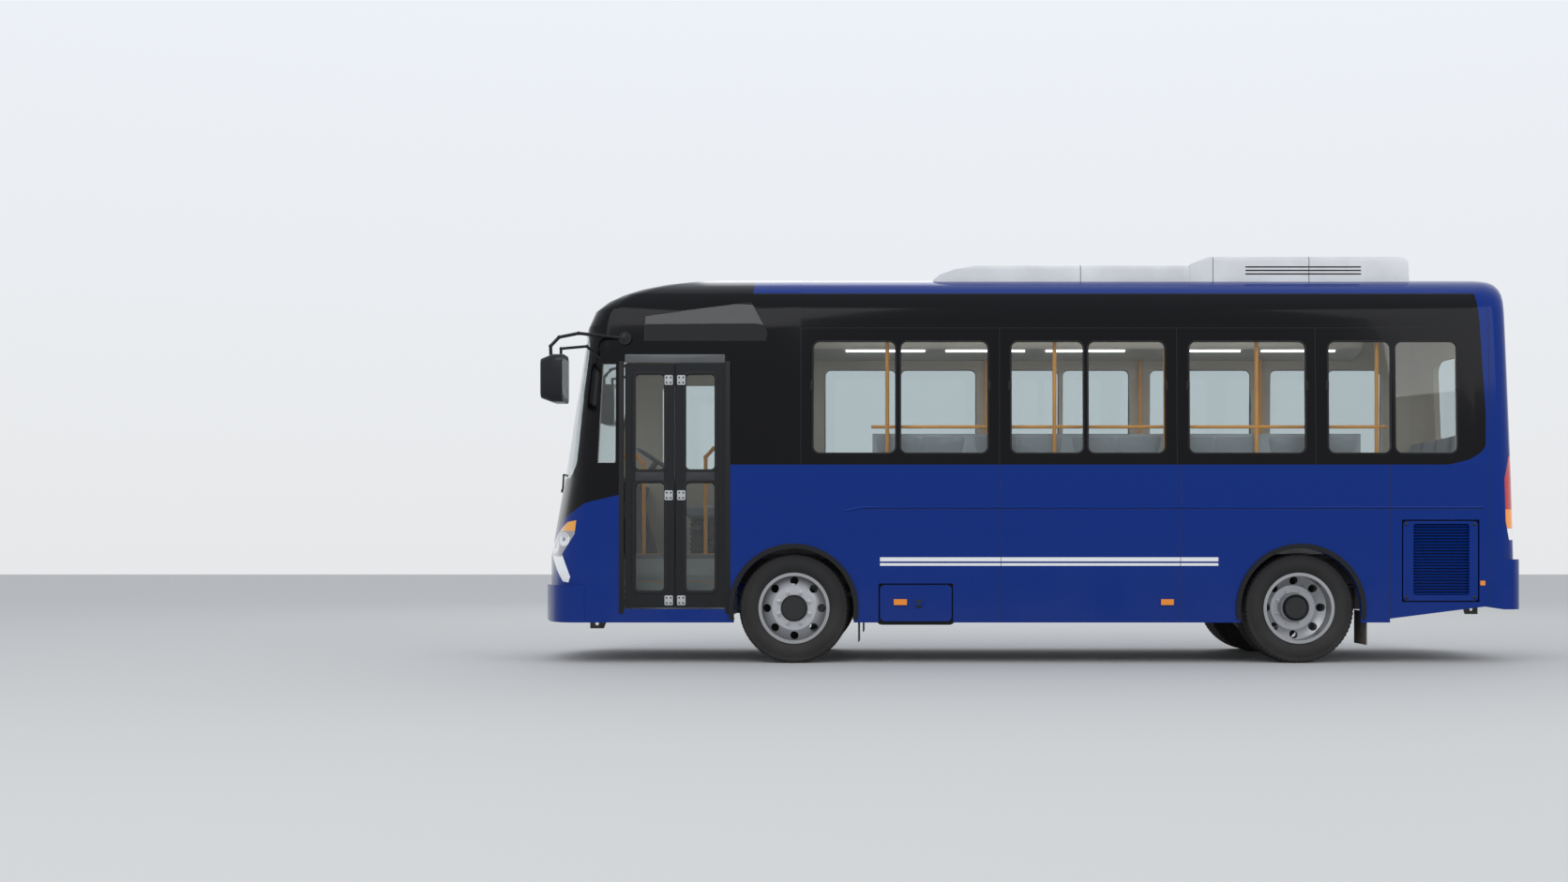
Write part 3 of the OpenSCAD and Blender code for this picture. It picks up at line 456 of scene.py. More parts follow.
def makeHeadlamp(plan):
    mat, bsdf = newMaterial("headlamp", rough=0.08)
    x, z = place()[1:]
    color = plan["reflector"]
    height = 0.0
    for cx, cz, radius in plan["bowls"]:
        far = farFrom(x, z, (cx, cz))
        bowl = step(far, radius, radius - plan["bowlEdge"])
        # bright and dark rings in each bowl are painted highlight and painted shade, standing for the
        # chrome's reflection
        ring = step(calc("PINGPONG", far, plan["ringWidth"]), 0.0, plan["ringWidth"])
        color = mixColor(bowl, color, mixColor(ring, plan["ringPaintedShade"], plan["ringPaintedHighlight"]))
        color = mixColor(step(far, *plan["bulbEdges"]), color, plan["bulb"])
        height = calc("ADD", height, times(bowl, step(far, 0.0, radius)))
    top, low = plan["runningTop"], plan["amberLow"]
    color = mixColor(step(z, top, top - plan["soft"]), color, plan["running"])
    color = mixColor(step(z, low, low + plan["soft"]), color, plan["amber"])
    setInputs(bsdf, {
        "Base Color": color,
        "Metallic": 0.35,
        "Coat Weight": 0.8,
        "Normal": bump(height, 0.6, 0.03),
    })
    return mat


def makeCloth(name, color, film=0.0):
    mat, bsdf = newMaterial(name, rough=0.9)
    vector = place()[0]
    weave = 260.0
    threads = larger(wave(vector, weave, "X"), wave(vector, weave, "Z"))
    flecks = noise(vector, 120.0, 2.0)
    tone = mixColor(flecks, shade(color, 0.7), shade(color, 1.25))
    normal = bump(threads, 0.4, 0.001)
    setInputs(bsdf, {"Base Color": tone, "Sheen Weight": 0.25, "Normal": normal})
    if film:
        # loose clear wrapping: a glossy coat over long soft creases, and a painted highlight on the crease
        # ridges
        bend = addNode("ShaderNodeTexNoise", {"Vector": vector, "Scale": 2.2, "Detail": 2.0})
        values = {0: bend.outputs["Color"], 1: (0.6, 0.6, 0.6), 2: vector}
        warped = addNode("ShaderNodeVectorMath", values, operation="MULTIPLY_ADD").outputs[0]
        values = {"Vector": warped, "Scale": 5.0, "Detail": 4.0, "Distortion": 1.2}
        ridges = addNode("ShaderNodeTexNoise", values, noise_type="RIDGED_MULTIFRACTAL")
        creases = ridges.outputs["Fac"]
        # pale streaks along the crease ridges are a painted highlight
        paintedCreaseHighlight = times(step(creases, 0.9, 1.6), 0.5)
        setInputs(bsdf, {
            "Base Color": mixColor(paintedCreaseHighlight, tone, (0.62, 0.63, 0.65, 1)),
            "Coat Weight": film,
            "Coat Roughness": 0.12,
            "Coat Normal": bump(creases, 0.9, 0.02),
        })
    return mat


# wheel paint: silver with a black hub in the middle, darker towards the outer corners of the dish
silverPlan = {
    "silver": (0.50, 0.51, 0.53),
    "outerDark": (0.16, 0.15, 0.14, 1),
    "hub": (0.008, 0.008, 0.009, 1),
    "axleZ": 0.464,
    "hubEdges": (0.114, 0.112),
    "outerDarkEdges": (0.20, 0.275),
}


def makeWheelPaint(name, axleX, plan):
    mat, bsdf = newMaterial(name, rough=0.34)
    vector, x, z = place()
    radius = farFrom(x, z, (axleX, plan["axleZ"]))
    hub = step(radius, *plan["hubEdges"])
    # the dish is darkened towards its outer corners
    outerDark = times(step(radius, *plan["outerDarkEdges"]), 0.35)
    tone, normal = grainOf(vector, 260.0, 0.1)
    color = mixColor(outerDark, scaled(plan["silver"], tone), plan["outerDark"])
    setInputs(bsdf, {
        "Base Color": mixColor(hub, color, plan["hub"]),
        "Metallic": minus(0.6, times(hub, 0.6)),
        "Normal": normal,
    })
    return mat


bodyPaint = makeBodyPaint("bodyPaint", paintPlan, True)
lidPaint = makeBodyPaint("lidPaint", paintPlan, False)
frontSilver = makeWheelPaint("frontSilver", 1.981, silverPlan)
rearSilver = makeWheelPaint("rearSilver", -2.284, silverPlan)
paneGlass = makeGlass(glassPlan)
headlampClear = makeHeadlamp(headlampPlan)
chassisPaint = makeGrained("chassisPaint", (0.02, 0.02, 0.022), 0.55, 200, 0.3, 0.9)
floorVinyl = makeGrained("floorVinyl", (0.16, 0.165, 0.175), 0.55, 260, 0.4)
stepGrey = makeGrained("stepGrey", (0.36, 0.36, 0.35), 0.5, 260, 0.3)
darkPlastic = makeGrained("darkPlastic", (0.035, 0.036, 0.04), 0.5, 420, 0.35, 0.35)
doorBlack = makeGrained("doorBlack", (0.006, 0.007, 0.009), 0.22, 300, 0.08)
satinBlack = makeGrained("satinBlack", (0.012, 0.012, 0.013), 0.35, 500, 0.2)
flapRubber = makeGrained("flapRubber", (0.02, 0.02, 0.02), 0.75, 240, 0.4, 0.8)
tyreRubber = makeGrained("tyreRubber", (0.014, 0.014, 0.015), 0.68, 300, 0.5, 0.12)
podShell = makePodShell(podShellPlan)
railOrange = makeGrained("railOrange", (0.85, 0.33, 0.02), 0.3, 300, 0.05)
seatCloth = makeCloth("seatCloth", (0.20, 0.21, 0.23))
tailBands = [(1.04, 1.14, (0.75, 0.76, 0.78)), (1.14, 1.30, (0.80, 0.25, 0.01))]
tailRed = makeLens("tailRed", (0.50, 0.008, 0.01), tailBands)
markerAmber = makeLens("markerAmber", (0.80, 0.24, 0.01))
stripLight = makeLight("stripLight", (0.95, 0.97, 1.0), 3.0)

finishes = {
    bodyPaint: ["left_side", "right_side", "left_band", "right_band", "left_front", "right_front", "roof",
                "front_dome", "front_mask", "front_bumper", "rear_wall", "rear_bumper"],
    lidPaint: ["side_hatch", "grille_door", "engine_lid"],
    doorBlack: ["door_leaf_front", "door_leaf_rear", "arch_flares", "mirrors"],
    paneGlass: ["windscreen", "left_windows", "right_windows", "rear_window", "door_glass_front",
                "door_glass_rear"],
    headlampClear: ["headlamps"],
    tailRed: ["tail_lamps"],
    markerAmber: ["marker_lamps", "hatch_marker"],
    podShell: ["air_conditioner"],
    darkPlastic: ["dashboard"],
    satinBlack: ["wipers", "steering_wheel"],
    flapRubber: ["mud_flaps"],
    chassisPaint: ["chassis_frame", "cross_members", "tow_eyes", "front_axle", "rear_axle", "springs",
                   "engine", "knuckle_left", "knuckle_right"],
    floorVinyl: ["floor_deck"],
    stepGrey: ["floor_boxes"],
    seatCloth: ["driver_seat", "left_bench", "right_bench", "rear_bench"],
    railOrange: ["grab_rails"],
    stripLight: ["ceiling_lights"],
    frontSilver: ["front_left_rim", "front_right_rim"],
    rearSilver: ["rear_left_rims", "rear_right_rims"],
    tyreRubber: ["front_left_tyre", "front_right_tyre", "rear_left_tyres", "rear_right_tyres"],
}


def finishNodes(plan):
    for material, names in plan.items():
        for name in names:
            slots = nodes[name].data.materials
            slots.clear()
            slots.append(material)


finishNodes(finishes)
print("materials:", len(finishes))


# mesh helpers: every new piece is a grid of points worked out as whole arrays
def pointsAt(x, y, z):
    return np.stack(np.broadcast_arrays(x, y, z), -1)


def circle(count):
    angle = np.linspace(0, 2 * np.pi, count, endpoint=False)
    return np.stack([np.cos(angle), np.sin(angle)], -1)


def halfRound(half, height):
    # section of a bead: half its width, and its height
    turn = np.linspace(0, np.pi, 7)
    return np.stack([half * np.cos(turn), height * np.sin(turn)], -1)


def gridFaces(rows, cols, closeRows, closeCols):
    down = np.arange(rows if closeRows else rows - 1)
    along = np.arange(cols if closeCols else cols - 1)
    i, j = np.meshgrid(down, along, indexing="ij")
    k, m = (i + 1) % rows, (j + 1) % cols
    return np.stack([i * cols + j, i * cols + m, k * cols + m, k * cols + j], -1).reshape(-1, 4)


def joinGrids(grids):
    points, faces, count = [], [], 0
    for p, f in grids:
        points.append(p.reshape(-1, 3))
        faces.append(f + count)
        count += len(points[-1])
    return np.concatenate(points), np.concatenate(faces)


def outward(points, faces):
    # a closed grid whose volume comes out negative is turned the right way round
    p = points.reshape(-1, 3)
    a, b, c, d = (p[faces[:, k]] for k in range(4))
    volume = np.einsum("ij,ij->", a, np.cross(b, c)) + np.einsum("ij,ij->", a, np.cross(c, d))
    return (p, faces) if volume > 0 else (p, faces[:, ::-1])


def cappedGrid(rings):
    # rings joined into a closed body, each end drawn together to a point in its middle
    tips = rings[[0, -1]].mean(1, keepdims=True) + 0 * rings[[0, -1]]
    points = np.concatenate([tips[:1], rings, tips[1:]])
    return outward(points, gridFaces(len(points), rings.shape[1], False, True))


def addPiece(name, grids, material, smoothAngle, body="bus_body"):
    points, faces = joinGrids(grids)
    mesh = bpy.data.meshes.new(name)
    mesh.from_pydata(points.tolist(), [], faces.tolist())
    mesh.validate()
    mesh.shade_smooth()
    mesh.set_sharp_from_angle(angle=math.radians(smoothAngle))
    mesh.materials.append(material)
    piece = bpy.data.objects.new(name, mesh)
    bpy.context.scene.collection.objects.link(piece)
    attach(piece, body)
    return piece


def turnedPoints(ring, out, angle, centre, side):
    # radius and distance out along Y, carried round the wheel axis
    x, y, z = centre
    return pointsAt(x + ring * np.cos(angle), y + side * out, z + ring * np.sin(angle))


def turnedGrid(profile, centre, steps, side=1, hexFrom=None):
    # profile (radius, distance out) turned round; its points from hexFrom on become a hexagon
    angle = np.linspace(0, 2 * np.pi, steps, endpoint=False)[:, None]
    radius, out = np.array(profile, float).T
    ring = np.broadcast_to(radius, (steps, len(radius)))
    if hexFrom is not None:
        sixth = np.pi / 3
        six = np.cos(sixth / 2) / np.cos(np.mod(angle, sixth) - sixth / 2)
        ring = np.where(np.arange(len(radius)) >= hexFrom, ring * six, ring)
    return outward(turnedPoints(ring, out, angle, centre, side), gridFaces(steps, len(radius), True, False))


def sweepGrid(path, section, across, closed=False):
    # section (sideways, outward) carried along a path; across gives the outward direction
    section = np.asarray(section, float)
    ahead = np.roll(path, -1, 0) - np.roll(path, 1, 0)
    if not closed:
        ahead[0], ahead[-1] = path[1] - path[0], path[-1] - path[-2]
    ahead /= np.linalg.norm(ahead, axis=1)[:, None]
    out = np.broadcast_to(np.asarray(across, float), path.shape)
    out = out - np.sum(out * ahead, 1)[:, None] * ahead
    out = out / np.linalg.norm(out, axis=1)[:, None]
    aside = np.cross(ahead, out)
    points = path[:, None] + section[None, :, :1] * aside[:, None] + section[None, :, 1:] * out[:, None]
    if not closed:
        return cappedGrid(points)
    return outward(points, gridFaces(len(path), len(section), True, True))


def roundBox(x0, z0, x1, z1, r):
    # closed outline of a rectangle with rounded corners
    turn = np.linspace(0, np.pi / 2, 8)
    corners = [(x1 - r, z1 - r, 0), (x0 + r, z1 - r, 1), (x0 + r, z0 + r, 2), (x1 - r, z0 + r, 3)]
    parts = []
    for cx, cz, quarter in corners:
        angle = turn + quarter * np.pi / 2
        parts.append(np.stack([cx + r * np.cos(angle), cz + r * np.sin(angle)], -1))
    return np.concatenate(parts)


# tyres with zigzag grooves, shoulder slots and fine rings on the sidewalls
tyrePlan = {
    "radius": 0.464, "halfTread": 0.0855, "halfWidth": 0.1275, "shoulder": 0.03, "steps": 300,
    "bead": [(0.287, 0.100), (0.306, 0.107)], "wall": (0.320, 0.424), "bulge": 0.012, "wallRing": 0.0012,
    "grooves": (-0.054, -0.018, 0.018, 0.054), "grooveWidth": 0.0055, "grooveDepth": 0.013,
    "grooveFrom": 0.45, "zigzag": 0.0045, "zigzags": 60,
    "slots": 75, "slotDepth": 0.010, "slotY": 0.094, "slotReach": 0.016, "slotFrom": 0.43,
}


def tyreGrid(plan, centre, side):
    # sidewall from bead to shoulder, tread, and back: radius less the depth of grooves and slots
    rise = np.linspace(0, 1, 14)
    wallR = np.linspace(*plan["wall"], len(rise))
    wallY = plan["halfWidth"] - plan["bulge"] * (2 * rise - 1) ** 2
    wallY = wallY + plan["wallRing"] * np.sin(rise * 40) * (rise > 0.55)
    bend = np.linspace(np.pi / 2, 0, 8)
    beadR, beadY = np.array(plan["bead"]).T
    bendR = plan["radius"] - plan["shoulder"] + plan["shoulder"] * np.cos(bend)
    bendY = plan["halfTread"] + plan["shoulder"] * np.sin(bend)
    edgeR = np.concatenate([beadR, wallR, bendR])
    edgeY = np.concatenate([beadY, wallY, bendY])
    flat = np.linspace(plan["halfTread"], -plan["halfTread"], 58)[1:-1]
    radius = np.concatenate([edgeR, np.full(len(flat), plan["radius"]), edgeR[::-1]])
    out = np.concatenate([edgeY, flat, -edgeY[::-1]])
    angle = np.linspace(0, 2 * np.pi, plan["steps"], endpoint=False)[:, None]
    swing = plan["zigzag"] * (2 / np.pi) * np.arcsin(np.sin(plan["zigzags"] * angle))
    grooves = sum(np.exp(-(((out - g - swing) / plan["grooveWidth"]) ** 4)) for g in plan["grooves"])
    grooves = grooves * plan["grooveDepth"] * (radius > plan["grooveFrom"])
    slots = np.exp(-(((np.abs(out) - plan["slotY"]) / plan["slotReach"]) ** 4)) * (radius > plan["slotFrom"])
    slots = plan["slotDepth"] * slots * (np.sin(plan["slots"] * angle) > 0.55)
    points = turnedPoints(radius - grooves - slots, out, angle, centre, side)
    return outward(points, gridFaces(plan["steps"], len(out), True, True))


wheelPlan = {
    "frontX": 1.981, "rearX": -2.284, "height": 0.464, "outerY": 1.0225, "twinGap": 0.290,
    "studRing": 0.1375, "studs": 8, "frontFace": 0.098, "rearFace": -0.131, "hexFrom": 5,
    "nut": [(0.0, 0.030), (0.008, 0.030), (0.0105, 0.027), (0.0105, 0.021), (0.0145, 0.021), (0.0165, 0.018),
            (0.0165, 0.005), (0.021, 0.004), (0.021, -0.002)],
}


def makeWheels(plan, tyre):
    height, ring = plan["height"], plan["studRing"]
    turn = np.arange(plan["studs"]) * 2 * np.pi / plan["studs"] + np.pi / 8
    for end, x in (("front", plan["frontX"]), ("rear", plan["rearX"])):
        rows = [plan["outerY"]] if end == "front" else [plan["outerY"], plan["outerY"] - plan["twinGap"]]
        face = plan["outerY"] + plan[end + "Face"]
        for sideName, side in sides:
            wheel = "%s_%s" % (end, sideName)
            tyres = [tyreGrid(tyre, (x, side * y, height), side) for y in rows]
            piece = addPiece(wheel + "_tread", tyres, tyreRubber, 30, "wheel_" + wheel)
            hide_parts(wheel + ("_tyre" if end == "front" else "_tyres"))
            nuts = []
            for a in turn:
                stud = (x + ring * math.cos(a), side * face, height + ring * math.sin(a))
                nuts.append(turnedGrid(plan["nut"], stud, 24, side, plan["hexFrom"]))
            addPiece(wheel + "_nuts", nuts, nutSteel, 30, "wheel_" + wheel)


nutSteel = makeGrained("nutSteel", (0.55, 0.55, 0.56), 0.3, 400, 0.1, 0.3, 0.9)
makeWheels(wheelPlan, tyrePlan)
print("wheels dressed")


# seats: one pad of each kind is swollen by the cloth solver, then copied to each seat
padPlan = {
    "benchSeat": {"size": (0.815, 0.375, 0.100), "cap": 0.016, "channels": (0.0,)},
    "benchBack": {"size": (0.815, 0.070, 0.570), "cap": 0.012, "channels": (0.0,)},
    "rearSeat": {"size": (0.360, 0.415, 0.100), "cap": 0.014, "channels": ()},
    "rearBack": {"size": (0.080, 0.415, 0.470), "cap": 0.012, "channels": ()},
    "driverSeat": {"size": (0.460, 0.500, 0.115), "cap": 0.016, "channels": ()},
    "driverBack": {"size": (0.100, 0.440, 0.640), "cap": 0.016, "channels": ()},
}
fillPlan = {"voxel": 0.011, "pressure": 4.0, "frames": 18, "channelPull": 0.16, "channelWidth": 0.012}


def swollenPad(name, plan, fill):
    # a slightly small box with round edges is remeshed and blown up, and no point goes further than the cap
    half = np.array(plan["size"]) / 2 - plan["cap"] * 0.8
    signs = np.array([(x, y, z) for x in (-1, 1) for y in (-1, 1) for z in (-1, 1)])
    boxFaces = [(0, 1, 3, 2), (4, 6, 7, 5), (0, 4, 5, 1), (2, 3, 7, 6), (0, 2, 6, 4), (1, 5, 7, 3)]
    mesh = bpy.data.meshes.new(name)
    mesh.from_pydata((signs * half).tolist(), [], boxFaces)
    pad = bpy.data.objects.new(name, mesh)
    scene = bpy.context.scene
    scene.collection.objects.link(pad)
    bevel = pad.modifiers.new("edges", "BEVEL")
    bevel.width, bevel.segments = min(half) * 0.6, 3
    remesh = pad.modifiers.new("voxels", "REMESH")
    remesh.mode, remesh.voxel_size = "VOXEL", fill["voxel"]
    flat = bpy.data.meshes.new_from_object(pad.evaluated_get(bpy.context.evaluated_depsgraph_get()))
    pad.modifiers.clear()
    pad.data = flat
    rest = np.empty(len(flat.vertices) * 3)
    flat.vertices.foreach_get("co", rest)
    rest = rest.reshape(-1, 3)
    points = rest
    cloth = pad.modifiers.new("fill", "CLOTH")
    cloth.settings.use_pressure = True
    cloth.settings.uniform_pressure_force = fill["pressure"]
    cloth.settings.effector_weights.gravity = 0.0
    for frameNo in range(1, fill["frames"] + 1):
        scene.frame_set(frameNo)
    grown = np.empty(rest.size)
    swollen = pad.evaluated_get(bpy.context.evaluated_depsgraph_get())
    swollen.data.vertices.foreach_get("co", grown)
    move = grown.reshape(-1, 3) - rest
    far = np.linalg.norm(move, axis=1)[:, None]
    points = rest + move * np.minimum(1, plan["cap"] / np.maximum(far, 1e-9))
    scene.frame_set(1)
    corner = np.empty(len(flat.polygons) * 4, int)
    flat.polygons.foreach_get("vertices", corner)
    thin = int(np.argmin(plan["size"]))
    for at in plan["channels"]:
        # a sewn channel across the pad draws its faces together
        near = np.exp(-(((points[:, 0] - at) / fill["channelWidth"]) ** 2))
        points[:, thin] *= 1 - fill["channelPull"] * near
    bpy.data.objects.remove(pad)
    return points, corner.reshape(-1, 4)


pads = {name: swollenPad(name, plan, fillPlan) for name, plan in padPlan.items()}
print("pads filled:", len(pads))


def padAt(name, centre, lean=(0, 0), side=1):
    # a copy moved to its place and sheared along X or Y with height
    points, faces = pads[name]
    moved = points.copy()
    moved[:, 0] += lean[0] * points[:, 2]
    moved[:, 1] += lean[1] * points[:, 2]
    moved = (moved + np.array(centre)) * np.array((1, side, 1))
    return outward(moved, faces)


def addPads(node, grids, material):
    piece = addPiece(node + "_pads", grids, material, 60)
    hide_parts(node)


# side benches: pads, the plinth panel under them with a toe space, and the shell behind the backs
benchPlan = {
    "front": 1.330, "rear": -2.840, "seats": 5, "endGap": 0.01,
    "seatY": 0.775, "seatZ": 1.300, "backY": 0.998, "backZ": 1.665, "backLean": (0, 0.045),
    "plinth": [(0.70, 0.921), (0.70, 1.238), (0.60, 1.243), (0.60, 1.252), (1.036, 1.252), (1.036, 0.921)],
    "shell": [(1.034, 1.26), (1.034, 1.93), (1.026, 1.945), (1.018, 1.93), (1.018, 1.26)],
}


def makeBenches(plan):
    pitch = (plan["front"] - plan["rear"]) / plan["seats"]
    middles = plan["rear"] + pitch * (np.arange(plan["seats"]) + 0.5)
    ends = (plan["rear"] + plan["endGap"], plan["front"] - plan["endGap"])
    for sideName, side in sides:
        grids = []
        for x in middles:
            grids.append(padAt("benchSeat", (x, plan["seatY"], plan["seatZ"]), side=side))
            grids.append(padAt("benchBack", (x, plan["backY"], plan["backZ"]), plan["backLean"], side))
        addPads(sideName + "_bench", grids, filmCloth)
        panels = []
        for outline in (plan["plinth"], plan["shell"]):
            y, z = np.array(outline).T
            panels.append(cappedGrid(np.stack([pointsAt(x, side * y, z) for x in ends])))
        addPiece(sideName + "_bench_plinth", panels, trimGrey, 30)


rearPlan = {
    "places": np.linspace(-0.86, 0.86, 5), "half": 1.075,
    "seatX": -3.625, "seatZ": 1.455, "backX": -3.868, "backZ": 1.765, "backLean": (-0.10, 0),
    "plinth": [(-3.936, 1.181), (-3.50, 1.181), (-3.45, 1.40), (-3.80, 1.404), (-3.915, 1.98),
               (-3.936, 1.98)],
}


def makeRearBench(plan):
    grids = [padAt("rearSeat", (plan["seatX"], y, plan["seatZ"])) for y in plan["places"]]
    grids += [padAt("rearBack", (plan["backX"], y, plan["backZ"]), plan["backLean"]) for y in plan["places"]]
    addPads("rear_bench", grids, seatCloth)
    x, z = np.array(plan["plinth"]).T
    plinth = cappedGrid(np.stack([pointsAt(x, y, z) for y in (-plan["half"], plan["half"])]))
    addPiece("rear_bench_plinth", [plinth], trimGrey, 30)


# driver's seat on a bellows pedestal: a rounded rectangle whose size waves with height
driverPlan = {
    "seat": (2.875, -0.57, 1.312), "back": (2.545, -0.57, 1.690), "backLean": (-0.165, 0),
    "pedestal": (2.87, -0.57), "outline": (-0.17, -0.22, 0.17, 0.22, 0.05),
    "low": 0.921, "tall": 0.325, "rings": 31, "folds": 7, "swell": 0.05,
}


def makeDriverSeat(plan):
    grids = [padAt("driverSeat", plan["seat"]), padAt("driverBack", plan["back"], plan["backLean"])]
    addPads("driver_seat", grids, seatCloth)
    x, y = roundBox(*plan["outline"]).T
    level = np.linspace(0, 1, plan["rings"])[:, None]
    size = 1 + plan["swell"] * np.cos(level * 2 * np.pi * plan["folds"])
    middleX, middleY = plan["pedestal"]
    rings = pointsAt(middleX + x * size, middleY + y * size, plan["low"] + plan["tall"] * level)
    addPiece("driver_seat_bellows", [cappedGrid(rings)], satinBlack, 50)


trimGrey = makeGrained("trimGrey", (0.33, 0.34, 0.35), 0.45, 220, 0.2)
filmCloth = makeCloth("filmCloth", (0.24, 0.25, 0.27), film=0.9)
makeBenches(benchPlan)
makeRearBench(rearPlan)
makeDriverSeat(driverPlan)
print("seats made")


# curved panels are merged and shaded smooth below a crease angle
smoothPlan = {
    "crease": 28,
    "panels": ["left_band", "right_band", "left_front", "right_front", "roof", "front_dome", "front_mask",
               "front_bumper", "rear_wall", "rear_bumper", "windscreen", "rear_window", "headlamps",
               "tail_lamps", "engine_lid", "mirrors", "air_conditioner", "left_windows", "right_windows"],
}


def smoothPanels(plan):
    tree = begin(bpy.data.node_groups.new("smoothPanels", "GeometryNodeTree"))
    for way in ("INPUT", "OUTPUT"):
        tree.interface.new_socket("Geometry", in_out=way, socket_type="NodeSocketGeometry")
    given, out = addNode("NodeGroupInput"), addNode("NodeGroupOutput")
    values = {"Geometry": given.outputs[0], "Name": "custom_normal"}
    bare = addNode("GeometryNodeRemoveAttribute", values)
    values = {"Geometry": bare.outputs[0], "Distance": 0.0002}
    merged = addNode("GeometryNodeMergeByDistance", values)
    soft = addNode("GeometryNodeSetShadeSmooth", {"Geometry": merged.outputs[0]}, domain="FACE")
    angle = addNode("GeometryNodeInputMeshEdgeAngle").outputs["Unsigned Angle"]
    sharp = calc("GREATER_THAN", angle, math.radians(plan["crease"]))
    values = {"Geometry": soft.outputs[0], "Selection": sharp, "Shade Smooth": False}
    hard = addNode("GeometryNodeSetShadeSmooth", values, domain="EDGE")
    plug(out.inputs[0], hard.outputs[0])
    for name in plan["panels"]:
        nodes[name].modifiers.new("smooth", "NODES").node_group = tree


smoothPanels(smoothPlan)

sidePlan = {"half": 1.2, "beltZ": 1.674, "lean": 0.04, "leanTall": 1.226}


def sideY(z):
    # half-width of the body at a height: upright to the belt, then leaning in
    rise = np.clip((z - sidePlan["beltZ"]) / sidePlan["leanTall"], 0, 1)
    return sidePlan["half"] - sidePlan["lean"] * rise


def beadRound(outline, y, width, height, side=1):
    # a closed bead of round-topped section laid round an outline on the side wall
    path = pointsAt(outline[:, 0], side * y, outline[:, 1])
    return sweepGrid(path, halfRound(width / 2, height), (0, side, 0), True)


def plate(x0, z0, x1, z1, y0, y1, r, side=1):
    # a plate with rounded corners and a small chamfer, square to the side
    outline = roundBox(x0, z0, x1, z1, r)
    middle = np.array([(x0 + x1) / 2, (z0 + z1) / 2])
    inset = middle + (outline - middle) * (1 - 0.002 / np.abs(outline - middle).max(0))
    rings = [(outline, y0), (outline, y1 - 0.001), (inset, y1)]
    return cappedGrid(np.stack([pointsAt(ring[:, 0], side * y, ring[:, 1]) for ring, y in rings]))


def endPlate(y0, z0, y1, z1, x0, x1, r):
    # the same plate turned to face along the bus
    points, faces = plate(y0, z0, y1, z1, x0, x1, r)
    return outward(points[:, [1, 0, 2]], faces)


def knob(x, y, z, radius, height, steps=20):
    # a low domed button standing out from the left side
    dome = [(0.0, height), (radius * 0.5, height * 0.93), (radius * 0.85, height * 0.7),
            (radius, height * 0.3), (radius, -0.002)]
    return turnedGrid(dome, (x, y, z), steps)


# rubber round the side panes
sealPlan = {
    "windows": [(0.344, 1.084), (1.120, 1.820), (-1.147, -0.495), (-0.459, 0.153), (-2.329, -1.346),
                (-3.602, -3.080), (-3.044, -2.517)],
    "low": 1.768, "top": 2.716, "corner": 0.06, "sunk": 0.002, "width": 0.016, "height": 0.004,
}


def makeSeals(plan):
    grids = []
    for side in (1, -1):
        for x0, x1 in plan["windows"]:
            outline = roundBox(x0, plan["low"], x1, plan["top"], plan["corner"])
            y = sideY(outline[:, 1]) - plan["sunk"]
            grids.append(beadRound(outline, y, plan["width"], plan["height"], side))
    addPiece("window_seals", grids, sealRubber, 50)


# door leaves: rubber round the panes, middle rails, hinge covers beside the split, screws along the foot
leafPlan = {
    "leaves": {"door_front": (2.985, 3.403, 1), "door_rear": (2.559, 2.977, -1)}, "face": 1.168,
    "panes": [(0.611, 1.523), (1.632, 2.437)], "sealRim": 0.073, "sealLap": 0.012, "corner": 0.05,
    "sealWidth": 0.034, "sealHeight": 0.006, "sunk": 0.001,
    "rail": (1.540, 1.615), "railRim": 0.089, "railThick": 0.004, "railCorner": 0.012,
    "coverAt": (0.487, 1.373, 2.344), "coverX": (0.014, 0.084), "coverZ": (0.003, 0.085), "coverCorner": 0.01,
    "coverY": (0.0045, 0.0065), "boltX": (0.032, 0.066), "boltZ": (0.022, 0.066), "bolt": (0.008, 0.002),
    "footZ": 0.490, "footRim": 0.11, "footScrews": 3, "footScrew": (0.007, 0.004),
}


def makeLeafTrim(plan):
    face, rim, lap = plan["face"], plan["sealRim"], plan["sealLap"]
    for body, (x0, x1, reach) in plan["leaves"].items():
        seals = []
        for low, top in plan["panes"]:
            outline = roundBox(x0 + rim, low - lap, x1 - rim, top + lap, plan["corner"])
            seals.append(beadRound(outline, face - plan["sunk"], plan["sealWidth"], plan["sealHeight"]))
        addPiece(body + "_seals", seals, sealRubber, 50, body)
        low, top = plan["rail"]
        rail = plate(x0 + plan["railRim"], low, x1 - plan["railRim"], top, face - plan["sunk"],
                     face + plan["railThick"], plan["railCorner"])
        addPiece(body + "_mid_rail", [rail], darkPlastic, 30, body)
        split = x0 if reach > 0 else x1
        back, front = (face + y for y in plan["coverY"])
        covers, screws = [], []
        for z in plan["coverAt"]:
            rear, ahead = sorted(split + reach * x for x in plan["coverX"])
            low, top = (z + height for height in plan["coverZ"])
            covers.append(plate(rear, low, ahead, top, back, front, plan["coverCorner"]))
            for x in plan["boltX"]:
                screws += [knob(split + reach * x, front, z + w, *plan["bolt"], 12) for w in plan["boltZ"]]
        for x in np.linspace(x0 + plan["footRim"], x1 - plan["footRim"], plan["footScrews"]):
            screws.append(knob(x, face, plan["footZ"], *plan["footScrew"], 12))
        addPiece(body + "_hinge_covers", covers, coverGrey, 30, body)
        addPiece(body + "_screws", screws, satinBlack, 40, body)


# dark rebates that close the gaps round the hatches
rebatePlan = {
    "outlines": [(0.640, 0.346, 1.266, 0.674, 0.03), (-3.785, 0.517, -3.133, 1.211, 0.03)],
    "y": 1.150,
    "section": [(-0.022, -0.006), (0.022, -0.006), (0.022, 0.006), (-0.022, 0.006)],
}


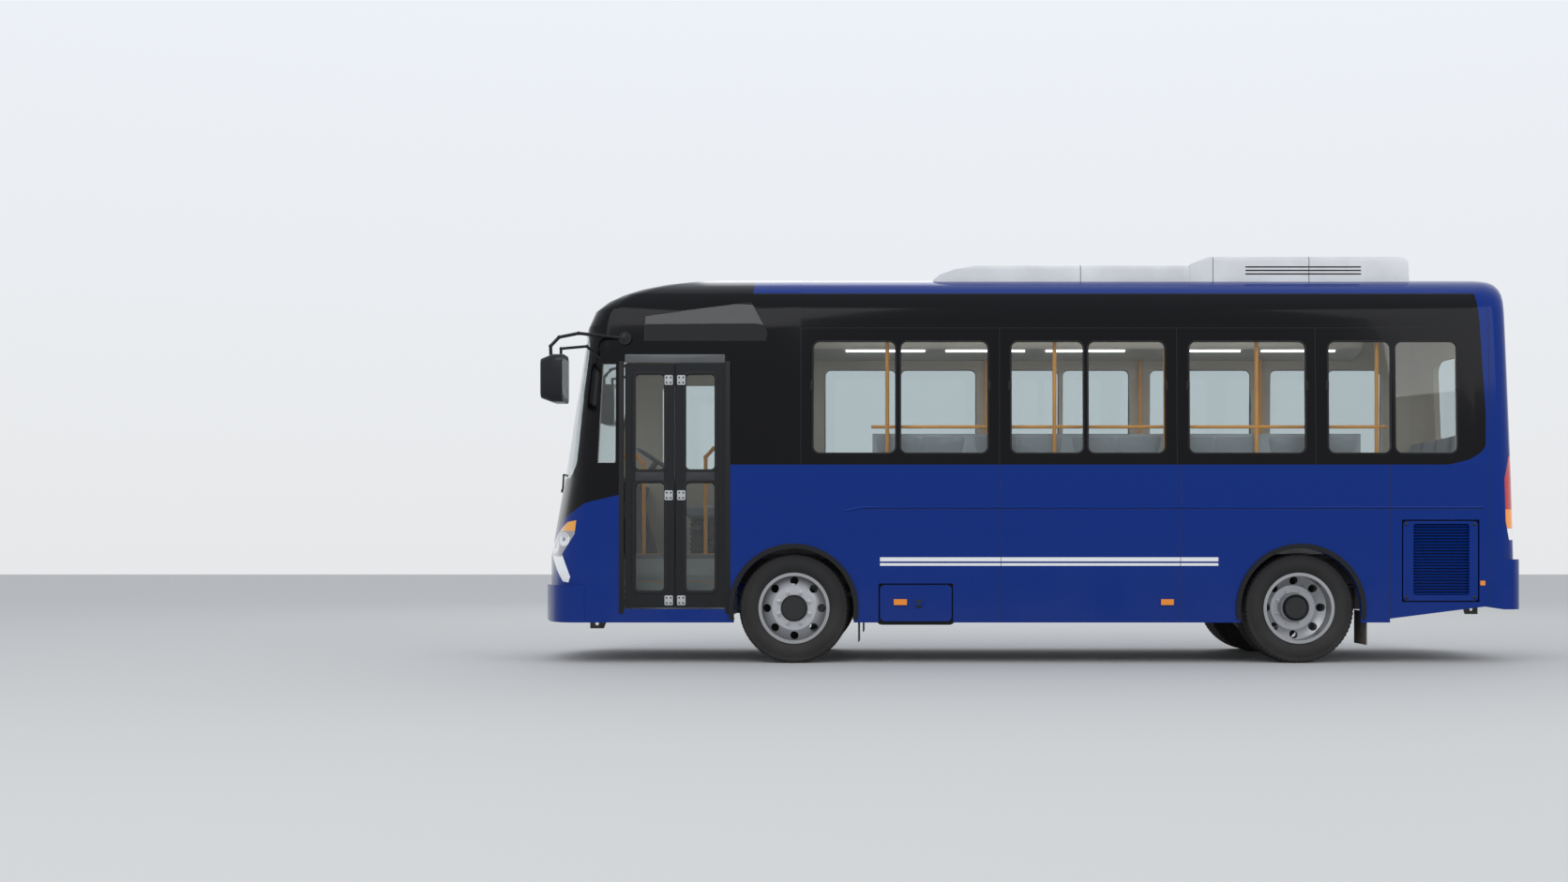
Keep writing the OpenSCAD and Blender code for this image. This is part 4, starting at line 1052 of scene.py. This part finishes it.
def makeRebates(plan):
    grids = []
    for box in plan["outlines"]:
        x, z = roundBox(*box).T
        grids.append(sweepGrid(pointsAt(x, plan["y"], z), plan["section"], (0, 1, 0), True))
    addPiece("hatch_rebates", grids, sealRubber, 30)


# pressed waist line, door header, split and jamb rubbers; plates are x0, z0, x1, z1, y0, y1, corner
trimPlan = {
    "waistZ": 1.316, "waistX": (1.398, -3.82), "waistY": 1.2, "waistNose": [(1.545, 1.284), (1.47, 1.302)],
    "waistHalf": 0.011, "waistHeight": 0.006,
    "header": (2.560, 2.535, 3.402, 2.604, 1.166, 1.1775, 0.008),
    "split": (2.9765, 0.475, 2.983, 2.525, 1.130, 1.150, 0.002),
    "jambs": [(2.512, 0.42, 2.555, 2.545, 1.173, 1.2035, 0.012),
              (3.409, 0.42, 3.450, 2.545, 1.173, 1.2035, 0.012)],
}


def makeTrim(plan):
    noseX, noseZ = np.array(plan["waistNose"]).T
    x = np.concatenate([noseX, np.linspace(*plan["waistX"], 40)])
    z = np.concatenate([noseZ, np.full(40, plan["waistZ"])])
    section = halfRound(plan["waistHalf"], plan["waistHeight"])
    lines = [sweepGrid(pointsAt(x, side * plan["waistY"], z), section, (0, side, 0)) for side in (1, -1)]
    addPiece("waist_line", lines, bodyPaint, 50)
    addPiece("door_header", [plate(*plan["header"])], headerGrey, 30)
    addPiece("door_split_rubber", [plate(*plan["split"])], sealRubber, 30, "door_rear")
    addPiece("door_jamb_rubbers", [plate(*box) for box in plan["jambs"]], sealRubber, 30)


# mirror glasses, locks, handles and window catches
fittingPlan = {
    "mirrorY": 1.290, "mirrorHalf": 0.122, "mirrorZ": (2.222, 2.546), "mirrorX": (3.8775, 3.883),
    "mirrorCorner": 0.045,
    "hatchPlate": (0.905, 0.470, 0.951, 0.536, 1.196, 1.204, 0.010),
    "hatchKnob": (0.928, 1.203, 0.503, 0.013, 0.008),
    "lockX": (-3.745, -3.172), "lockZ": (0.556, 1.172), "lockY": 1.197, "lock": (0.015, 0.007),
    "lidHandle": (-0.13, 0.965, 0.13, 1.025, -4.236, -4.222, 0.018),
    "catchX": [(0.338, 1.826), (-1.153, 0.159), (-2.335, -1.340), (-3.608, -2.511)],
    "catchHalf": 0.014, "catchZ": (2.30, 2.38), "catchY": (1.168, 1.1835), "catchCorner": 0.008,
}


def makeFittings(plan):
    half, (low, top) = plan["mirrorHalf"], plan["mirrorZ"]
    glasses = []
    for y in (plan["mirrorY"], -plan["mirrorY"]):
        glasses.append(endPlate(y - half, low, y + half, top, *plan["mirrorX"], plan["mirrorCorner"]))
    addPiece("mirror_glasses", glasses, mirrorSilver, 30)
    handle = [plate(*plan["hatchPlate"]), knob(*plan["hatchKnob"])]
    addPiece("hatch_handle", handle, satinBlack, 40, "hatch")
    locks = [knob(x, plan["lockY"], z, *plan["lock"]) for x in plan["lockX"] for z in plan["lockZ"]]
    addPiece("grille_locks", locks, satinBlack, 40, "grille")
    addPiece("lid_handle", [endPlate(*plan["lidHandle"])], satinBlack, 40, "lid")
    half, (low, top) = plan["catchHalf"], plan["catchZ"]
    catches = []
    for ends in plan["catchX"]:
        for x in ends:
            box = (x - half, low, x + half, top, *plan["catchY"], plan["catchCorner"])
            catches += [plate(*box, side) for side in (1, -1)]
    addPiece("window_catches", catches, sealRubber, 30)


def uprightDisc(x, y, low, top, radius):
    # a flat round plate with a small chamfer
    ring = circle(48)
    rims = [(radius, low), (radius, top - 0.001), (radius - 0.001, top)]
    return cappedGrid(np.stack([pointsAt(x + r * ring[:, 0], y + r * ring[:, 1], z) for r, z in rims]))


# roof pod: intake slots along the sides; on the low part, ringed guards over dark discs that stand for the
# fans in their wells, partly the fans' own black and partly painted shade
podPlan = {
    "fanX": (-0.10, -0.85), "fanY": (-0.36, 0.36), "fanRadius": 0.26, "lowTop": 3.427,
    "well": (-0.005, 0.003), "hubTop": 0.016, "hubRadius": 0.06,
    "wire": 0.005, "rings": 5, "ringFrom": 0.10, "ringZ": 0.012,
    "spokes": 4, "spokeFrom": 0.05, "spokeZ": 0.009,
    "slotX": (-2.9, -1.9), "slotZ": (3.345, 3.375, 3.405), "slotHalf": 0.006, "slotY": (0.774, 0.7825),
    "slotCorner": 0.005,
}


def makePodFittings(plan):
    wells, guards = [], []
    top, radius = plan["lowTop"], plan["fanRadius"]
    wire, ring = plan["wire"] * circle(8), circle(48)
    wellLow, wellTop = plan["well"]
    for x, y in [(x, y) for x in plan["fanX"] for y in plan["fanY"]]:
        # flat dark discs stand for the fans down in their wells: partly the fans' own black, partly painted
        # shade
        wells.append(uprightDisc(x, y, top + wellLow, top + wellTop, radius))
        guards.append(uprightDisc(x, y, top, top + plan["hubTop"], plan["hubRadius"]))
        for r in np.linspace(plan["ringFrom"], radius, plan["rings"]):
            path = pointsAt(x + r * ring[:, 0], y + r * ring[:, 1], top + plan["ringZ"])
            guards.append(sweepGrid(path, wire, (0, 0, 1), True))
        reach = np.linspace(plan["spokeFrom"], radius, 4)
        for angle in np.arange(plan["spokes"]) * 2 * np.pi / plan["spokes"] + np.pi / 4:
            path = pointsAt(x + reach * np.cos(angle), y + reach * np.sin(angle), top + plan["spokeZ"])
            guards.append(sweepGrid(path, wire, (0, 0, 1)))
    addPiece("pod_fan_wells", wells, satinBlack, 30)
    addPiece("pod_fan_guards", guards, coverGrey, 50)
    x0, x1 = plan["slotX"]
    half, slots = plan["slotHalf"], []
    for z in plan["slotZ"]:
        box = (x0, z - half, x1, z + half, *plan["slotY"], plan["slotCorner"])
        slots += [plate(*box, side) for side in (1, -1)]
    addPiece("pod_slots", slots, satinBlack, 30)


# orange nosings on the floor's edge and the steps
nosingPlan = {
    "edges": [(0.470, 0.9195), (0.700, 0.6795), (1.130, 0.4395)],
    "x": (2.56, 3.405),
    "section": [(0.030, 0.0), (0.030, 0.005), (0.0, 0.005), (0.0, 0.0)],
}


def makeNosings(plan):
    x = np.linspace(*plan["x"], 12)
    grids = [sweepGrid(pointsAt(x, y, z), plan["section"], (0, 0, 1)) for y, z in plan["edges"]]
    addPiece("step_nosings", grids, railOrange, 30)


sealRubber = makeGrained("sealRubber", (0.010, 0.010, 0.011), 0.6, 420, 0.25)
coverGrey = makeGrained("coverGrey", (0.46, 0.47, 0.48), 0.4, 200, 0.1)
headerGrey = makeGrained("headerGrey", (0.10, 0.105, 0.11), 0.35, 200, 0.1)
mirrorSilver = newMaterial("mirrorSilver", (0.85, 0.86, 0.88), 0.03, 1.0)[0]
makeSeals(sealPlan)
makeLeafTrim(leafPlan)
makeRebates(rebatePlan)
makeTrim(trimPlan)
makeFittings(fittingPlan)
makePodFittings(podPlan)
makeNosings(nosingPlan)
print("body details made")


# dark screen behind the louvres, and the cover of the door gear behind the light over the door
screenPlan = {
    "grille": (-3.708, 0.569, -3.223, 1.184, 1.150, 1.161, 0.02),
    "cover": [(2.10, 2.640, 3.48, 2.950, 1.010, 1.100, 0.03), (2.10, 2.800, 3.52, 3.090, 1.010, 1.018, 0.03)],
}


def makeScreens(plan):
    addPiece("grille_screen", [plate(*plan["grille"])], meshBlack, 30, "grille")
    addPiece("door_light_screen", [plate(*box) for box in plan["cover"]], meshBlack, 30)


meshBlack = makeGrained("meshBlack", (0.008, 0.008, 0.009), 0.75, 300, 0.3)
makeScreens(screenPlan)
print("screens made")


# air ducts over the windows, with a row of lamps along the inner edge
ductPlan = {
    "ends": (-3.30, 1.90),
    "section": [(1.095, 2.800), (0.760, 2.850), (0.715, 2.870), (0.700, 2.900), (0.700, 3.020),
                (1.060, 3.060)],
    "lampRows": [(-3.05, -2.35), (-2.15, -1.45), (-1.05, -0.30), (-0.10, 0.65), (0.85, 1.60)],
    "lampY": 0.742, "lampZ": 2.855, "lampRadius": 0.013,
}


def makeDucts(plan):
    ducts, lamps = [], []
    y, z = np.array(plan["section"]).T
    tube = plan["lampRadius"] * circle(12)
    for side in (1, -1):
        ducts.append(cappedGrid(np.stack([pointsAt(x, side * y, z) for x in plan["ends"]])))
        for row in plan["lampRows"]:
            path = pointsAt(np.linspace(*row, 8), side * plan["lampY"], plan["lampZ"])
            lamps.append(sweepGrid(path, tube, (0, 0, 1)))
    addPiece("ceiling_ducts", ducts, ductBeige, 30)
    addPiece("duct_lamps", lamps, stripLight, 50)


ductBeige = makeGrained("ductBeige", (0.58, 0.52, 0.44), 0.5, 200, 0.1)
makeDucts(ductPlan)
print("ducts made")


# pale floor and soft light
stagePlan = {
    "floor": (0.62, 0.62, 0.61),
    "half": 60.0,
    "horizon": (0.80, 0.81, 0.82, 1),
    "sky": (0.86, 0.90, 0.96, 1),
    "skyStrength": 0.78,
}


def makeStage(plan):
    half = plan["half"]
    mesh = bpy.data.meshes.new("floor")
    corners = [(-half, -half, 0), (half, -half, 0), (half, half, 0), (-half, half, 0)]
    mesh.from_pydata(corners, [], [(0, 1, 2, 3)])
    floor = bpy.data.objects.new("floor", mesh)
    bpy.context.scene.collection.objects.link(floor)
    mesh.materials.append(newMaterial("paleFloor", plan["floor"], 0.8)[0])
    world = bpy.data.worlds.new("studio")
    world.use_nodes = True
    bpy.context.scene.world = world
    tree = begin(world.node_tree)
    coords = addNode("ShaderNodeTexCoord").outputs["Generated"]
    height = addNode("ShaderNodeSeparateXYZ", {0: coords}).outputs["Z"]
    # seen directly, mirrored or through glass the backdrop is at full strength; the object is lit by less
    path = addNode("ShaderNodeLightPath").outputs
    seen = larger(path["Is Camera Ray"], path["Is Transmission Ray"])
    seen = larger(seen, path["Is Glossy Ray"])
    lit = plan["skyStrength"]
    setInputs(tree.nodes["Background"], {
        "Color": mixColor(step(height, 0.0, 0.35), plan["horizon"], plan["sky"]),
        "Strength": calc("MULTIPLY_ADD", seen, 1.0 - lit, lit),
    })


softBoxes = [
    {"name": "keyLight", "place": (6.0, 14.0, 11.0), "aim": (0.0, 0.0, 1.4), "size": 9.0, "watts": 600},
    {"name": "fillLight", "place": (-9.0, 11.0, 8.0), "aim": (0.0, 0.0, 1.5), "size": 8.0, "watts": 320},
    {"name": "backLight", "place": (0.0, -12.0, 10.0), "aim": (0.0, 0.0, 2.0), "size": 9.0, "watts": 300},
]


def makeLights(boxes):
    for plan in boxes:
        lampData = bpy.data.lights.new(plan["name"], "AREA")
        lampData.size = plan["size"]
        lampData.energy = plan["watts"]
        lamp = bpy.data.objects.new(plan["name"], lampData)
        lamp.location = plan["place"]
        gaze = np.array(plan["aim"]) - np.array(plan["place"])
        flat = math.hypot(gaze[0], gaze[1])
        lamp.rotation_euler = (math.atan2(flat, -gaze[2]), 0, math.atan2(gaze[1], gaze[0]) - math.pi / 2)
        bpy.context.scene.collection.objects.link(lamp)


makeStage(stagePlan)
makeLights(softBoxes)
print("stage and lights set")

bpy.context.scene.view_settings.view_transform = "Standard"
